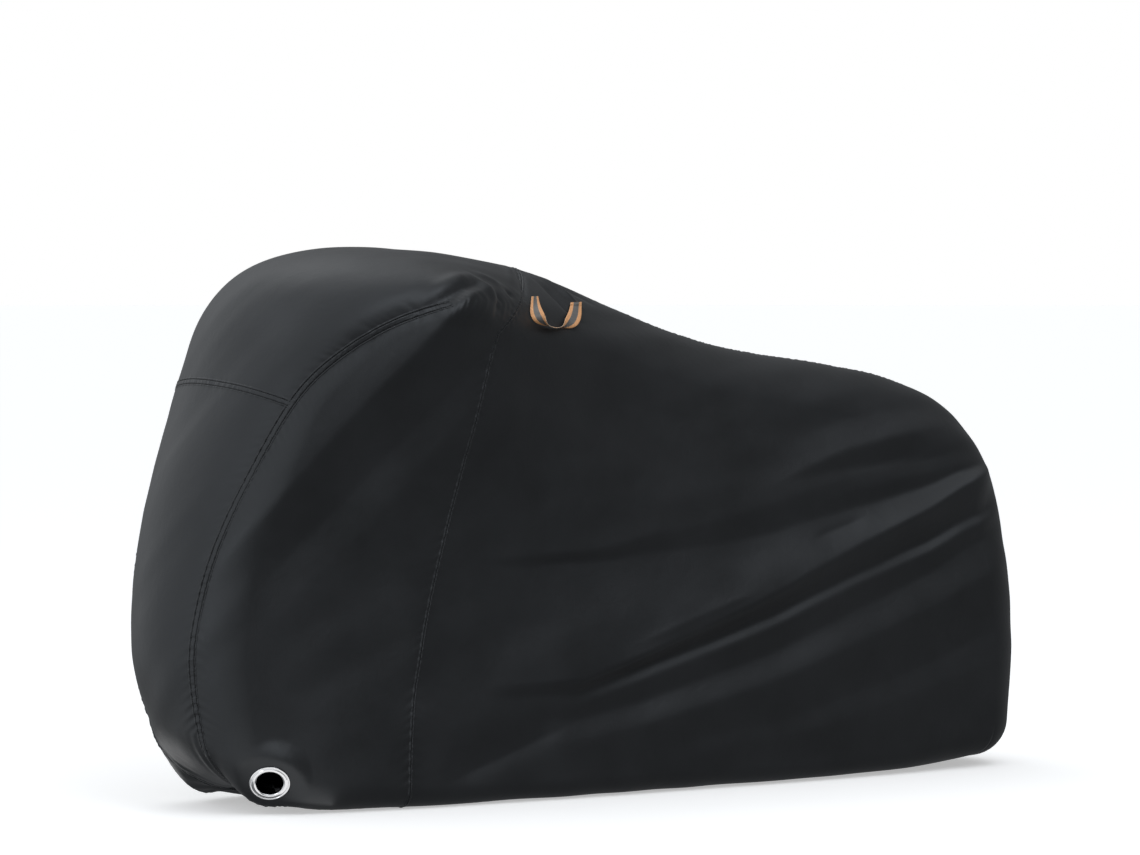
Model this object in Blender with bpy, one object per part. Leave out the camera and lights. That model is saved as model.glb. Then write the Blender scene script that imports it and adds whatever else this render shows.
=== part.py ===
"""Fitted bicycle cover: an upper and a lower front gusset, four side panels, a reflective loop and two lock eyelets.

Everything is laid out in a floor frame: x runs from the nose (-) to the tail (+), y from the right-hand side (+)
to the left-hand side (-), and z up from the floor that the hem brushes. The part's own origin is HELD_POINT, on the
inner face of the hood's top, where the bicycle under the cover carries it.
"""
import math

import bpy
import numpy as np
from mathutils.bvhtree import BVHTree

# ---------------------------------------------------------------- driving sizes, metres and degrees
CLOTH = 0.002               # thickness of a panel
SEAM_GAP = 0.0003           # clearance between pieces that touch
KEEL = (-0.620, 0.750)      # the hem turns towards this stretch of the middle line, along x
HELD_POINT = (-0.470, 0.0, 1.080)

LOWER_ROWS = 9              # ribs of the coarse surface, section by section along the spine
BROW_ROWS = 5
HOOD_COLUMNS = 11
BACK_COLUMNS = 30
GUSSET_STEPS = 5            # steps across the rounded edge, up to the gusset seam and beyond it
TURN_STEPS = 2
CURL_STEPS = 3

EYELET_CENTRE = (-0.822, -0.167, 0.065)
EYELET_NORMAL = (-0.39, -0.77, -0.51)
EYELET_HOLE = 0.0265        # radius of the way through
EYELET_FLANGE = 0.039       # outer radius of the front flange
EYELET_BARREL = 0.0285      # outer radius of the barrel
EYELET_SEGMENTS = 32
CLEARED_AROUND_EYELET = 0.049
FLAT_AROUND_EYELET = 0.048  # cloth held flat out to here, back on its own curve at FREE_AROUND_EYELET
FREE_AROUND_EYELET = 0.085

TAPE_WIDTH = 0.030
TAPE_THICK = 0.0015
LOOP_FACING = 30                # degrees that the loop is turned from square to the side towards the nose
LOOP_CENTRE = (-0.0835, 0.980)  # place across that facing, and height, of the middle between the two sewn ends
LOOP_SPAN = 0.082               # from leg to leg
LOOP_DEPTH = 0.052
LOOP_SLOPE = -10                # the sewn ends follow the edge of the back down to the tail
LOOP_FACED = 0.75               # how far the hanging legs turn from the wall to the loop's facing
LOOP_STAND_OFF = 0.004          # between the cloth and the tape's edge at the bottom of the loop
LOOP_STEPS = 40
LOOP_STRIPS = 3

# ---------------------------------------------------------------- the pattern, as sections
# Each row is one rib of the cover: its point on the spine, its point where the side wall begins, and how far
# round that turn the gusset seam lies (0 at the spine, 90 at the wall).
RIB_COLUMNS = ("place", "spine_x", "spine_z", "edge_x", "edge_z", "seam_turn")
RIBS = (
    ("nose hem",     -0.966, 0.165, -0.845, 0.112, 40),
    ("nose low",     -1.008, 0.288, -0.876, 0.278, 47),
    ("nose front",   -1.007, 0.398, -0.876, 0.383, 50),
    ("nose middle",  -0.978, 0.558, -0.848, 0.528, 55),
    ("nose high",    -0.930, 0.708, -0.803, 0.658, 60),
    ("cross seam",   -0.882, 0.828, -0.762, 0.768, 66),
    ("brow",         -0.838, 0.948, -0.695, 0.850, 74),
    ("brow top",     -0.762, 1.034, -0.630, 0.905, 79),
    ("hood front",   -0.630, 1.078, -0.560, 0.940, 80),
    ("hood middle",  -0.470, 1.082, -0.485, 0.955, 78),
    ("hood rear",    -0.330, 1.066, -0.430, 0.947, 74),
    ("side seam",    -0.208, 1.042, -0.392, 0.922, 66),
    ("back slope",    0.000, 0.970, -0.120, 0.880, 66),
    ("back low",      0.200, 0.898,  0.120, 0.812, 66),
    ("back flat",     0.450, 0.848,  0.420, 0.755, 66),
    ("tail top",      0.680, 0.806,  0.630, 0.710, 66),
    ("tail corner",   0.828, 0.738,  0.760, 0.650, 66),
    ("tail high",     0.912, 0.628,  0.818, 0.578, 66),
    ("tail middle",   0.957, 0.458,  0.848, 0.438, 66),
    ("tail low",      0.973, 0.278,  0.866, 0.278, 66),
    ("tail hem",      0.958, 0.092,  0.870, 0.088, 66),
)

# Half the cover's width at the side walls: a row for each height, a column for each station along x.
WIDTH_STATIONS = (-0.95, -0.70, -0.45, -0.20, 0.10, 0.50, 0.95)
WIDTH_COLUMNS = ("height", "nose", "wheel", "bars", "side_seam", "frame", "saddle", "tail")
WIDTHS = (
    (0.05, 0.165, 0.200, 0.215, 0.215, 0.205, 0.180, 0.125),
    (0.30, 0.175, 0.205, 0.225, 0.228, 0.220, 0.185, 0.130),
    (0.55, 0.200, 0.225, 0.240, 0.235, 0.200, 0.160, 0.120),
    (0.75, 0.235, 0.260, 0.275, 0.228, 0.160, 0.115, 0.100),
    (0.95, 0.260, 0.300, 0.310, 0.205, 0.105, 0.070, 0.085),
)

# The side seam's points on the wall, from the hem up; it ends on the "side seam" rib.
SIDE_SEAM_COLUMNS = ("x", "z")
SIDE_SEAM = (
    (-0.540, 0.046),
    (-0.536, 0.200),
    (-0.514, 0.360),
    (-0.478, 0.530),
    (-0.442, 0.700),
    (-0.412, 0.840),
)

# Where the wall stops and the elasticated hem starts to turn under, the radius of that turn and its angle.
HEM_COLUMNS = ("x", "z", "turn_radius", "turn_under")
HEM = (
    (-1.020, 0.165, 0.160, 92),
    (-0.845, 0.112, 0.092, 104),
    (-0.760, 0.078, 0.070, 112),
    (-0.640, 0.054, 0.050, 118),
    (-0.450, 0.044, 0.040, 120),
    (0.100, 0.044, 0.040, 120),
    (0.600, 0.047, 0.040, 120),
    (0.760, 0.064, 0.050, 116),
    (0.870, 0.088, 0.064, 110),
    (0.990, 0.092, 0.074, 108),
)

# Folds on each side: a row runs from its start to its end, bowed sideways by bow at its middle, with its
# half width and its height above (+) or depth below (-) the smooth cloth.
FOLD_COLUMNS = ("start_x", "start_z", "end_x", "end_z", "bow", "half_width", "height")
LEFT_FOLDS = (
    (-0.50, 0.955, -0.97, 0.480, 0.020, 0.055, 0.012),
    (-0.46, 0.900, -0.90, 0.400, 0.030, 0.080, -0.014),
    (-0.02, 0.240, 0.86, 0.545, -0.015, 0.034, -0.022),
    (0.00, 0.300, 0.76, 0.580, 0.005, 0.056, 0.013),
    (0.02, 0.214, 0.86, 0.500, 0.008, 0.030, 0.009),
    (-0.18, 0.155, 0.82, 0.452, -0.015, 0.036, -0.018),
    (0.28, 0.226, 0.82, 0.395, 0.000, 0.040, 0.011),
    (0.16, 0.142, 0.80, 0.310, -0.010, 0.038, -0.011),
    (0.56, 0.096, 0.90, 0.145, 0.000, 0.032, -0.007),
    (0.40, 0.606, 0.84, 0.676, 0.008, 0.036, -0.011),
    (-0.47, 0.060, -0.20, 0.150, 0.000, 0.045, -0.006),
)
RIGHT_FOLDS = (
    (-0.50, 0.945, -0.95, 0.520, 0.030, 0.060, 0.009),
    (-0.45, 0.880, -0.88, 0.440, 0.020, 0.075, -0.011),
    (0.05, 0.330, 0.82, 0.560, 0.015, 0.038, -0.019),
    (-0.10, 0.210, 0.78, 0.380, -0.025, 0.036, -0.017),
    (0.10, 0.270, 0.84, 0.470, -0.005, 0.046, 0.013),
    (0.36, 0.600, 0.80, 0.665, -0.010, 0.040, -0.013),
    (0.30, 0.120, 0.84, 0.240, 0.010, 0.040, -0.011),
)
BAR_END = (-0.470, 0.962)   # x and z where the end of the handlebars pushes the hood outwards
BAR_END_RADIUS = 0.085
BAR_END_HEIGHT = 0.012


# ---------------------------------------------------------------- curves and fields
def column(rows, names, name):
    return np.array([row[names.index(name)] for row in rows])


def natural_spline(knots, values):
    """Smooth curve through values at knots; returns a function of the parameter."""
    knots = np.asarray(knots, float)
    values = np.asarray(values, float)
    if values.ndim == 1:
        values = values[:, None]
    count = len(knots)
    step = np.diff(knots)
    system = np.zeros((count, count))
    right = np.zeros((count, values.shape[1]))
    system[0, 0] = system[-1, -1] = 1.0
    for i in range(1, count - 1):
        system[i, i - 1:i + 2] = step[i - 1], 2 * (step[i - 1] + step[i]), step[i]
        right[i] = 6 * ((values[i + 1] - values[i]) / step[i] - (values[i] - values[i - 1]) / step[i - 1])
    bend = np.linalg.solve(system, right)

    def at(x):
        x = np.atleast_1d(np.asarray(x, float))
        i = np.clip(np.searchsorted(knots, x) - 1, 0, count - 2)
        h = step[i][:, None]
        a = (knots[i + 1] - x)[:, None] / h
        b = 1 - a
        return a * values[i] + b * values[i + 1] + ((a**3 - a) * bend[i] + (b**3 - b) * bend[i + 1]) * h**2 / 6

    return at


def chord_knots(points):
    return np.concatenate([[0], np.cumsum(np.linalg.norm(np.diff(points, axis=0), axis=1))])


def evenly(curve, count):
    """count + 1 points at even spacing along a polyline."""
    reach = chord_knots(curve)
    wanted = np.linspace(0, reach[-1], count + 1)
    return np.stack([np.interp(wanted, reach, curve[:, k]) for k in range(curve.shape[1])], 1)


def smooth_step(x):
    x = np.clip(x, 0, 1)
    return x * x * (3 - 2 * x)


RIB_NAMES = [row[0] for row in RIBS]
RIB_VALUES = np.stack([column(RIBS, RIB_COLUMNS, name) for name in RIB_COLUMNS[1:]], 1)
RIB_KNOTS = chord_knots(RIB_VALUES[:, :2])
rib_at = natural_spline(RIB_KNOTS, RIB_VALUES)
width_rows = [natural_spline(WIDTH_STATIONS, row[1:]) for row in WIDTHS]
width_blend = natural_spline(column(WIDTHS, WIDTH_COLUMNS, "height"), np.eye(len(WIDTHS)))
hem_x = column(HEM, HEM_COLUMNS, "x")
hem_height_at = natural_spline(hem_x[1:-1], column(HEM, HEM_COLUMNS, "z")[1:-1])
hem_turn_at = natural_spline(hem_x, np.stack([column(HEM, HEM_COLUMNS, "turn_radius"),
                                              column(HEM, HEM_COLUMNS, "turn_under")], 1))


def half_width(x, z):
    """Half the cover's width at its side walls, anywhere on the side."""
    flat_x = np.clip(np.ravel(x), -1.05, 1.02)
    flat_z = np.clip(np.ravel(z), 0.0, 1.1)
    rows = np.stack([row(flat_x)[:, 0] for row in width_rows], 1)
    return (rows * width_blend(flat_z)).sum(1).reshape(np.shape(x))


def fold_height(x, z, folds):
    """Sum of the folds' heights at points of the side."""
    total = np.zeros(np.shape(x))
    for start_x, start_z, end_x, end_z, bow, half, height in folds:
        length = math.hypot(end_x - start_x, end_z - start_z)
        along_x, along_z = (end_x - start_x) / length, (end_z - start_z) / length
        along = ((x - start_x) * along_x + (z - start_z) * along_z) / length
        across = -(x - start_x) * along_z + (z - start_z) * along_x - bow * 4 * along * (1 - along)
        ends = smooth_step(along / 0.22) * smooth_step((1 - along) / 0.22)
        total += height * ends * np.exp(-(across / half)**2 * 1.4)
    return total


# ---------------------------------------------------------------- the smooth cover, one half
def coons(left, right, bottom, top):
    """Grid spanned between four edges of points."""
    u = np.linspace(0, 1, len(bottom))[None, :, None]
    v = np.linspace(0, 1, len(left))[:, None, None]
    edges = (1 - u) * left[:, None] + u * right[:, None] + (1 - v) * bottom[None] + v * top[None]
    corners = (1 - u) * ((1 - v) * bottom[0] + v * top[0]) + u * ((1 - v) * bottom[-1] + v * top[-1])
    return edges - corners


def rib_parameters():
    """Parameters of all ribs along the spine, from the nose's hem to the tail's."""
    rows = LOWER_ROWS + BROW_ROWS
    marks = ("nose hem", "cross seam", "brow top", "side seam", "tail corner", "tail hem")
    counts = (LOWER_ROWS, BROW_ROWS, HOOD_COLUMNS, BACK_COLUMNS, rows)
    knots = [RIB_KNOTS[RIB_NAMES.index(mark)] for mark in marks]
    pieces = [np.linspace(a, b, n + 1)[1:] for a, b, n in zip(knots, knots[1:], counts)]
    return np.concatenate([knots[:1]] + pieces)


def hem_line(start, end, count):
    """Points along the wall's lower edge, between two given ends."""
    x = np.linspace(start[0], end[0], 160)
    line = np.stack([x, hem_height_at(x)[:, 0]], 1)
    line[0], line[-1] = start, end
    return evenly(line, count)


class HalfCover:
    """Left half of the smooth cover: points, and quads labelled with the panel they belong to."""

    def __init__(self):
        self.points = []
        self.quads = []
        self.labels = []
        self.build()

    def add_grid(self, grid, known):
        """Number a grid's points, reusing the numbers that known gives for shared edges."""
        ids = np.full(grid.shape[:2], -1)
        for (row, col), number in known.items():
            ids[row, col] = number
        for row, col in zip(*np.nonzero(ids < 0)):
            ids[row, col] = len(self.points)
            self.points.append(grid[row, col])
        return ids

    def add_quads(self, ids, label_of):
        for row in range(ids.shape[0] - 1):
            for col in range(ids.shape[1] - 1):
                self.quads.append((ids[row, col], ids[row, col + 1], ids[row + 1, col + 1], ids[row + 1, col]))
                self.labels.append(label_of(row, col))

    def build(self):
        rows = LOWER_ROWS + BROW_ROWS
        turn_steps = GUSSET_STEPS + TURN_STEPS
        seam_rib = rows + HOOD_COLUMNS
        corner_rib = seam_rib + BACK_COLUMNS
        last_rib = corner_rib + rows

        ribs = rib_at(rib_parameters())
        spine, edge = ribs[:, 0:2], ribs[:, 2:4]
        seam_turn = np.radians(ribs[:, 4])[:, None]
        inner = np.arange(GUSSET_STEPS) / GUSSET_STEPS
        outer = np.arange(TURN_STEPS + 1) / TURN_STEPS
        turn = np.concatenate([seam_turn * inner, seam_turn + (math.pi / 2 - seam_turn) * outer], 1)
        side = spine[:, None] + (edge - spine)[:, None] * (1 - np.cos(turn))[..., None]
        across = -half_width(side[..., 0], side[..., 1]) * np.sin(turn)
        strip = np.stack([side[..., 0], across, side[..., 1]], -1)
        strip_ids = self.add_grid(strip, {})

        def strip_label(row, col):
            if row >= seam_rib:
                return "side_rear"
            if col >= GUSSET_STEPS:
                return "side_front"
            return "front_gusset" if row < LOWER_ROWS else "hood"

        self.add_quads(strip_ids, strip_label)

        seam_points = np.array(SIDE_SEAM + (tuple(edge[seam_rib]),))
        seam_knots = chord_knots(seam_points)
        seam_curve = natural_spline(seam_knots, seam_points)(np.linspace(0, seam_knots[-1], 200))
        seam = evenly(seam_curve, rows)
        front_hem = hem_line(edge[0], seam[0], HOOD_COLUMNS)
        rear_hem = hem_line(seam[0], edge[last_rib], BACK_COLUMNS)
        front = coons(edge[:rows + 1], seam, front_hem, edge[rows:seam_rib + 1])
        rear = coons(seam, edge[corner_rib:][::-1], rear_hem, edge[seam_rib:corner_rib + 1])
        front = np.stack([front[..., 0], -half_width(front[..., 0], front[..., 1]), front[..., 1]], -1)
        rear = np.stack([rear[..., 0], -half_width(rear[..., 0], rear[..., 1]), rear[..., 1]], -1)

        known = {(row, 0): strip_ids[row, turn_steps] for row in range(rows + 1)}
        known.update({(rows, col): strip_ids[rows + col, turn_steps] for col in range(HOOD_COLUMNS + 1)})
        front_ids = self.add_grid(front, known)
        known = {(row, 0): front_ids[row, HOOD_COLUMNS] for row in range(rows + 1)}
        known.update({(rows, col): strip_ids[seam_rib + col, turn_steps] for col in range(BACK_COLUMNS + 1)})
        known.update({(row, BACK_COLUMNS): strip_ids[last_rib - row, turn_steps] for row in range(rows)})
        rear_ids = self.add_grid(rear, known)
        self.add_quads(front_ids, lambda row, col: "side_front")
        self.add_quads(rear_ids, lambda row, col: "side_rear")

        # the hem turns under from the lower edge, all the way round
        loop = np.concatenate([strip_ids[0], front_ids[0, 1:], rear_ids[0, 1:], strip_ids[-1, -2::-1]])
        above = np.concatenate([strip_ids[1], front_ids[1, 1:], rear_ids[1, 1:], strip_ids[-2, -2::-1]])
        self.add_curl(loop, above, seam_column=turn_steps + HOOD_COLUMNS)

    def add_curl(self, loop, above, seam_column):
        points = np.array(self.points)
        start = points[loop]
        forward = np.gradient(start, axis=0)
        forward[0], forward[-1] = (0, -1, 0), (0, 1, 0)
        forward /= np.linalg.norm(forward, axis=1)[:, None]
        keel = np.stack([np.clip(start[:, 0], *KEEL), np.zeros(len(start))], 1)
        inward = np.zeros_like(start)
        inward[:, :2] = keel - start[:, :2]
        inward /= np.linalg.norm(inward, axis=1)[:, None]
        slope = start - points[above]
        slope -= (slope * forward).sum(1)[:, None] * forward
        down = (slope * inward).sum(1)[:, None] * inward
        down[:, 2] = slope[:, 2]
        down /= np.linalg.norm(down, axis=1)[:, None]
        radius, turn_under = hem_turn_at(start[:, 0]).T[:, :, None]
        grid = [start]
        for step in range(1, CURL_STEPS + 1):
            turn = np.radians(turn_under) * step / CURL_STEPS
            row = start + radius * (np.sin(turn) * down + (1 - np.cos(turn)) * inward)
            row[0, 1] = row[-1, 1] = 0
            grid.append(row)
        ids = self.add_grid(np.array(grid), {(0, col): number for col, number in enumerate(loop)})

        def curl_label(row, col):
            if col < GUSSET_STEPS:
                return "front_gusset"
            return "side_front" if col < seam_column else "side_rear"

        self.add_quads(ids[::-1], curl_label)


# ---------------------------------------------------------------- the whole cover, folded and with its eyelet holes
def vertex_normals(points, quads):
    normals = np.zeros_like(points)
    a, b, c, d = (points[quads[:, k]] for k in range(4))
    face = np.cross(c - a, d - b)
    for k in range(4):
        np.add.at(normals, quads[:, k], face)
    return normals / np.linalg.norm(normals, axis=1)[:, None]


def whole_cover():
    """Both halves, welded along the spine: points, outward normals, quads and labels."""
    half = HalfCover()
    left = np.array(half.points)
    count = len(left)
    on_spine = np.abs(left[:, 1]) < 1e-9
    right_ids = np.arange(count)
    right_ids[~on_spine] = count + np.arange((~on_spine).sum())
    right = left[~on_spine] * (1, -1, 1)
    points = np.concatenate([left, right])
    left_quads = np.array(half.quads)
    right_quads = right_ids[left_quads][:, ::-1]
    quads = np.concatenate([left_quads, right_quads])
    gussets = ("hood", "front_gusset")
    labels = [name if name in gussets else name + "_left" for name in half.labels]
    labels += [name if name in gussets else name + "_right" for name in half.labels]

    normals = vertex_normals(points, quads)
    x, y, z = points.T
    height = np.where(y < 0, fold_height(x, z, LEFT_FOLDS), fold_height(x, z, RIGHT_FOLDS))
    from_bar = np.hypot(x - BAR_END[0], z - BAR_END[1]) / BAR_END_RADIUS
    height = height + BAR_END_HEIGHT * np.exp(-from_bar**2)
    height = height * smooth_step((np.abs(y) - 0.06) / 0.08)
    points = points + normals * height[:, None]
    for side in (1, -1):
        points = hold_flat(points, side)
    return points, vertex_normals(points, quads), quads, labels


def eyelet_frame(side):
    """Centre, outward normal and two directions in the plane of an eyelet; side is 1 left, -1 right."""
    mirror = np.array((1, side, 1))
    centre = np.array(EYELET_CENTRE) * mirror
    normal = np.array(EYELET_NORMAL) * mirror
    normal /= np.linalg.norm(normal)
    first = np.cross((0, 0, 1), normal)
    first /= np.linalg.norm(first)
    return centre, normal, first, np.cross(normal, first)


def hold_flat(points, side):
    """Press the cloth onto the eyelet's plane close to the eyelet."""
    centre, normal, _, _ = eyelet_frame(side)
    offset = points - centre
    rise = offset @ normal
    radius = np.linalg.norm(offset - rise[:, None] * normal, axis=1)
    reach = (FREE_AROUND_EYELET - radius) / (FREE_AROUND_EYELET - FLAT_AROUND_EYELET)
    hold = smooth_step(reach) * smooth_step((0.040 - np.abs(rise)) / 0.015)
    return points - (rise * hold)[:, None] * normal


def border_loop(faces):
    """Ordered points of the one closed border of a set of faces, in the faces' own turning sense."""
    edges = {}
    for face in faces:
        for a, b in zip(face, face[1:] + face[:1]):
            edges[(a, b)] = True
    onward = {a: b for a, b in edges if (b, a) not in edges}
    first = next(iter(onward))
    loop = [first]
    while onward[loop[-1]] != first:
        loop.append(onward[loop[-1]])
    return loop


def ring_around(points, normals, faces):
    """Cut the left eyelet's hole into a panel: clear the faces round it, and join what is left to a flat ring."""
    centre, normal, first, second = eyelet_frame(1)
    offset = points - centre
    rise = offset @ normal
    radius = np.linalg.norm(offset - rise[:, None] * normal, axis=1)
    close = (radius < CLEARED_AROUND_EYELET) & (np.abs(rise) < 0.05)
    cleared = [face for face in faces if any(close[i] for i in face)]
    kept = [face for face in faces if not any(close[i] for i in face)]
    outer = border_loop(cleared)

    def angle(number):
        return math.atan2(offset[number] @ second, offset[number] @ first)

    rings = []
    for ring_radius in (EYELET_FLANGE + 0.002, EYELET_BARREL + SEAM_GAP):
        ring = []
        for k in range(EYELET_SEGMENTS):
            turn = -math.pi + 2 * math.pi * k / EYELET_SEGMENTS
            ring.append(len(points))
            spoke = first * math.cos(turn) + second * math.sin(turn)
            points = np.vstack([points, centre + ring_radius * spoke])
            normals = np.vstack([normals, normal])
        rings.append(ring)
        offset = points - centre
    seat, hole = rings
    kept += zip_loops(outer, seat, [angle(n) for n in outer], [angle(n) for n in seat])
    for k in range(EYELET_SEGMENTS):
        onward = (k + 1) % EYELET_SEGMENTS
        kept.append([seat[k], seat[onward], hole[onward], hole[k]])
    return points, normals, kept


def with_eyelet_hole(points, normals, faces, on_right):
    """A panel with its eyelet's hole; the right-hand one is cut as the mirror image of the left-hand one."""
    if not on_right:
        return ring_around(points, normals, faces)
    mirror = np.array((1, -1, 1))
    points, normals, faces = ring_around(points * mirror, normals * mirror, [face[::-1] for face in faces])
    return points * mirror, normals * mirror, [face[::-1] for face in faces]


def zip_loops(outer, inner, outer_angles, inner_angles):
    """Triangles between two loops that turn the same way round one centre."""
    faces = []
    base = outer_angles[0]
    outer_turn = [(a - base) % (2 * math.pi) for a in outer_angles] + [2 * math.pi]
    lead = min(range(len(inner)), key=lambda k: (inner_angles[k] - base) % (2 * math.pi))
    inner = inner[lead:] + inner[:lead]
    inner_angles = inner_angles[lead:] + inner_angles[:lead]
    inner_turn = [(a - base) % (2 * math.pi) for a in inner_angles] + [2 * math.pi]
    i = j = 0
    while i < len(outer) or j < len(inner):
        a, b = outer[i % len(outer)], inner[j % len(inner)]
        if j == len(inner) or (i < len(outer) and outer_turn[i + 1] <= inner_turn[j + 1]):
            i += 1
            faces.append([a, outer[i % len(outer)], b])
        else:
            j += 1
            faces.append([a, inner[j % len(inner)], b])
    return faces


# ---------------------------------------------------------------- solids
def split(face, points):
    """A quad as two triangles across its shorter diagonal, so that both sides of a sheet bend alike."""
    if len(face) == 3:
        return [face]
    a, b, c, d = face
    if np.linalg.norm(points[a] - points[c]) <= np.linalg.norm(points[b] - points[d]):
        return [[a, b, c], [a, c, d]]
    return [[a, b, d], [b, c, d]]


def cloth_solid(name, points, normals, faces, material):
    """Closed sheet CLOTH thick under the given faces, its edges drawn back by half a seam gap."""
    used = sorted({i for face in faces for i in face})
    local = {number: k for k, number in enumerate(used)}
    faces = [[local[i] for i in triangle] for face in faces for triangle in split(face, points)]
    outer = points[used]
    outward = normals[used]
    directed = {}
    for number, face in enumerate(faces):
        for a, b in zip(face, face[1:] + face[:1]):
            directed[(a, b)] = number
    border = [(a, b) for a, b in directed if (b, a) not in directed]
    pull = {}
    for a, b in border:
        line = outer[b] - outer[a]
        inward = np.cross(outward[a] + outward[b], line)
        inward /= np.linalg.norm(inward)
        for corner in (a, b):
            pull.setdefault(corner, []).append(inward)
    outer = outer.copy()
    for corner, ways in pull.items():
        total = sum(ways)
        lean = 1 + (ways[0] @ ways[1] if len(ways) == 2 else 1)
        outer[corner] += total / max(lean, 0.5) * SEAM_GAP / 2
    inner = outer - outward * CLOTH
    count = len(outer)
    solid_faces = [list(face) for face in faces]
    solid_faces += [[i + count for i in face[::-1]] for face in faces]
    solid_faces += [[b, a, a + count, b + count] for a, b in border]
    return mesh_object(name, np.vstack([outer, inner]), solid_faces, material)


def mesh_object(name, points, faces, material):
    mesh = bpy.data.meshes.new(name)
    mesh.from_pydata((np.asarray(points) - HELD_POINT).tolist(), [], [[int(i) for i in face] for face in faces])
    mesh.validate()
    mesh.shade_smooth()
    mesh.materials.append(material)
    piece = bpy.data.objects.new(name, mesh)
    bpy.context.scene.collection.objects.link(piece)
    return piece


def turned_ring(name, profile, side, material):
    """Closed ring turned round an eyelet's axis from a closed profile of (radius, height) points."""
    centre, normal, first, second = eyelet_frame(side)
    points = []
    for k in range(EYELET_SEGMENTS):
        turn = 2 * math.pi * k / EYELET_SEGMENTS
        spoke = first * math.cos(turn) + second * math.sin(turn)
        points += [centre + radius * spoke + height * normal for radius, height in profile]
    size = len(profile)
    faces = []
    for k in range(EYELET_SEGMENTS):
        here, onward = k * size, (k + 1) % EYELET_SEGMENTS * size
        for p in range(size):
            q = (p + 1) % size
            faces.append([here + p, onward + p, onward + q, here + q])
    return mesh_object(name, points, faces, material)


def eyelet_profile():
    """Front flange with a raised inner band and a rolled rim, on a barrel that passes through the cloth."""
    seat = SEAM_GAP
    back = -CLOTH - 2 * SEAM_GAP - 0.0012
    return (
        (EYELET_HOLE, back),
        (EYELET_BARREL, back),
        (EYELET_BARREL, seat),
        (EYELET_FLANGE, seat),
        (EYELET_FLANGE, seat + 0.0012),
        (EYELET_FLANGE - 0.0015, seat + 0.0026),
        (EYELET_FLANGE - 0.0035, seat + 0.0018),
        (EYELET_HOLE + 0.0075, seat + 0.0030),
        (EYELET_HOLE + 0.0030, seat + 0.0030),
        (EYELET_HOLE, seat + 0.0008),
    )


def washer_profile():
    top = -CLOTH - SEAM_GAP
    inner = EYELET_BARREL + SEAM_GAP
    outer = EYELET_FLANGE - 0.002
    return ((inner, top), (inner, top - 0.0012), (outer, top - 0.0012), (outer, top))


def reflective_loop(cloth, material):
    """U of tape: its ends lie flat on the cloth, and its bottom stands on edge, clear of the wall."""
    slope = math.radians(LOOP_SLOPE)
    sideways, inward = loop_axes()
    upward = np.array((0.0, 0.0, 1.0))
    along = sideways * math.cos(slope) + upward * math.sin(slope)
    centre = sideways * LOOP_CENTRE[0] + upward * LOOP_CENTRE[1]
    across = np.linspace(-0.5, 0.5, LOOP_STRIPS + 1) * TAPE_WIDTH
    rest = TAPE_THICK / 2 + 2 * SEAM_GAP
    lines = []
    for step in range(LOOP_STEPS + 1):
        turn = math.pi * step / LOOP_STEPS
        place = centre - along * math.cos(turn) * LOOP_SPAN / 2 - upward * math.sin(turn)**0.72 * LOOP_DEPTH
        wall, outward = wall_point(cloth, place)
        heading = along * math.sin(turn) * LOOP_SPAN / 2 - upward * math.cos(turn) * LOOP_DEPTH
        level = np.cross(heading, inward) / np.linalg.norm(heading)
        heading -= outward * (heading @ outward)
        flat = np.cross(outward, heading) / np.linalg.norm(heading)
        lying = np.array([hit + normal * rest for hit, normal in (wall_point(cloth, wall + flat * s) for s in across)])
        behind = min((hit + normal * rest) @ inward for hit, normal in (wall_point(cloth, place + level * s)
                                                                        for s in across))
        faced = place + level * across[:, None] + inward * (behind - place @ inward)
        hang = LOOP_FACED * float(smooth_step(math.sin(turn) / 0.40))
        leg = lying * (1 - hang) + faced * hang
        stand = float(smooth_step((math.sin(turn) - 0.45) / 0.55))
        twist = stand * math.pi / 2
        width = level * math.cos(twist) - inward * math.sin(twist)
        depth = behind + ((wall + outward * rest) @ inward - behind) * math.sin(twist)
        depth -= TAPE_WIDTH / 2 * math.sin(twist) + LOOP_STAND_OFF * stand
        middle = place + inward * (depth - place @ inward)
        line = leg * (1 - stand) + (middle + width * across[:, None]) * stand
        clear = rest + 0.0014 * hang
        sunk = max((point - hit) @ inward - clear / (normal @ inward)
                   for point, (hit, normal) in ((point, wall_point(cloth, point)) for point in line))
        lines.append(line - inward * max(sunk, 0))
    lines = np.array(lines)
    faces_out = np.cross(np.gradient(lines, axis=0), np.gradient(lines, axis=1))
    faces_out /= np.linalg.norm(faces_out, axis=2, keepdims=True)
    half = faces_out * TAPE_THICK / 2
    points = np.concatenate([lines - half, (lines + half)[:, ::-1]], axis=1).reshape(-1, 3).tolist()
    size = 2 * len(across)
    faces = [list(range(size))[::-1]]
    for step in range(LOOP_STEPS):
        here, onward = step * size, (step + 1) * size
        for p in range(size):
            q = (p + 1) % size
            faces.append([here + p, here + q, onward + q, onward + p])
    faces.append([LOOP_STEPS * size + p for p in range(size)])
    return mesh_object("reflective_loop", points, faces, material)


def loop_axes():
    """Level directions along the loop's face and in through it."""
    turn = math.radians(LOOP_FACING)
    return np.array((math.cos(turn), -math.sin(turn), 0)), np.array((math.sin(turn), math.cos(turn), 0))


def wall_point(cloth, place):
    """The cloth straight in behind a place, as the loop faces, and the cloth's outward normal there."""
    _, inward = loop_axes()
    hit, normal, _, _ = cloth.ray_cast((place - inward * (place @ inward + 1.0)).tolist(), inward.tolist())
    return np.array(hit), np.array(normal)


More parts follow.
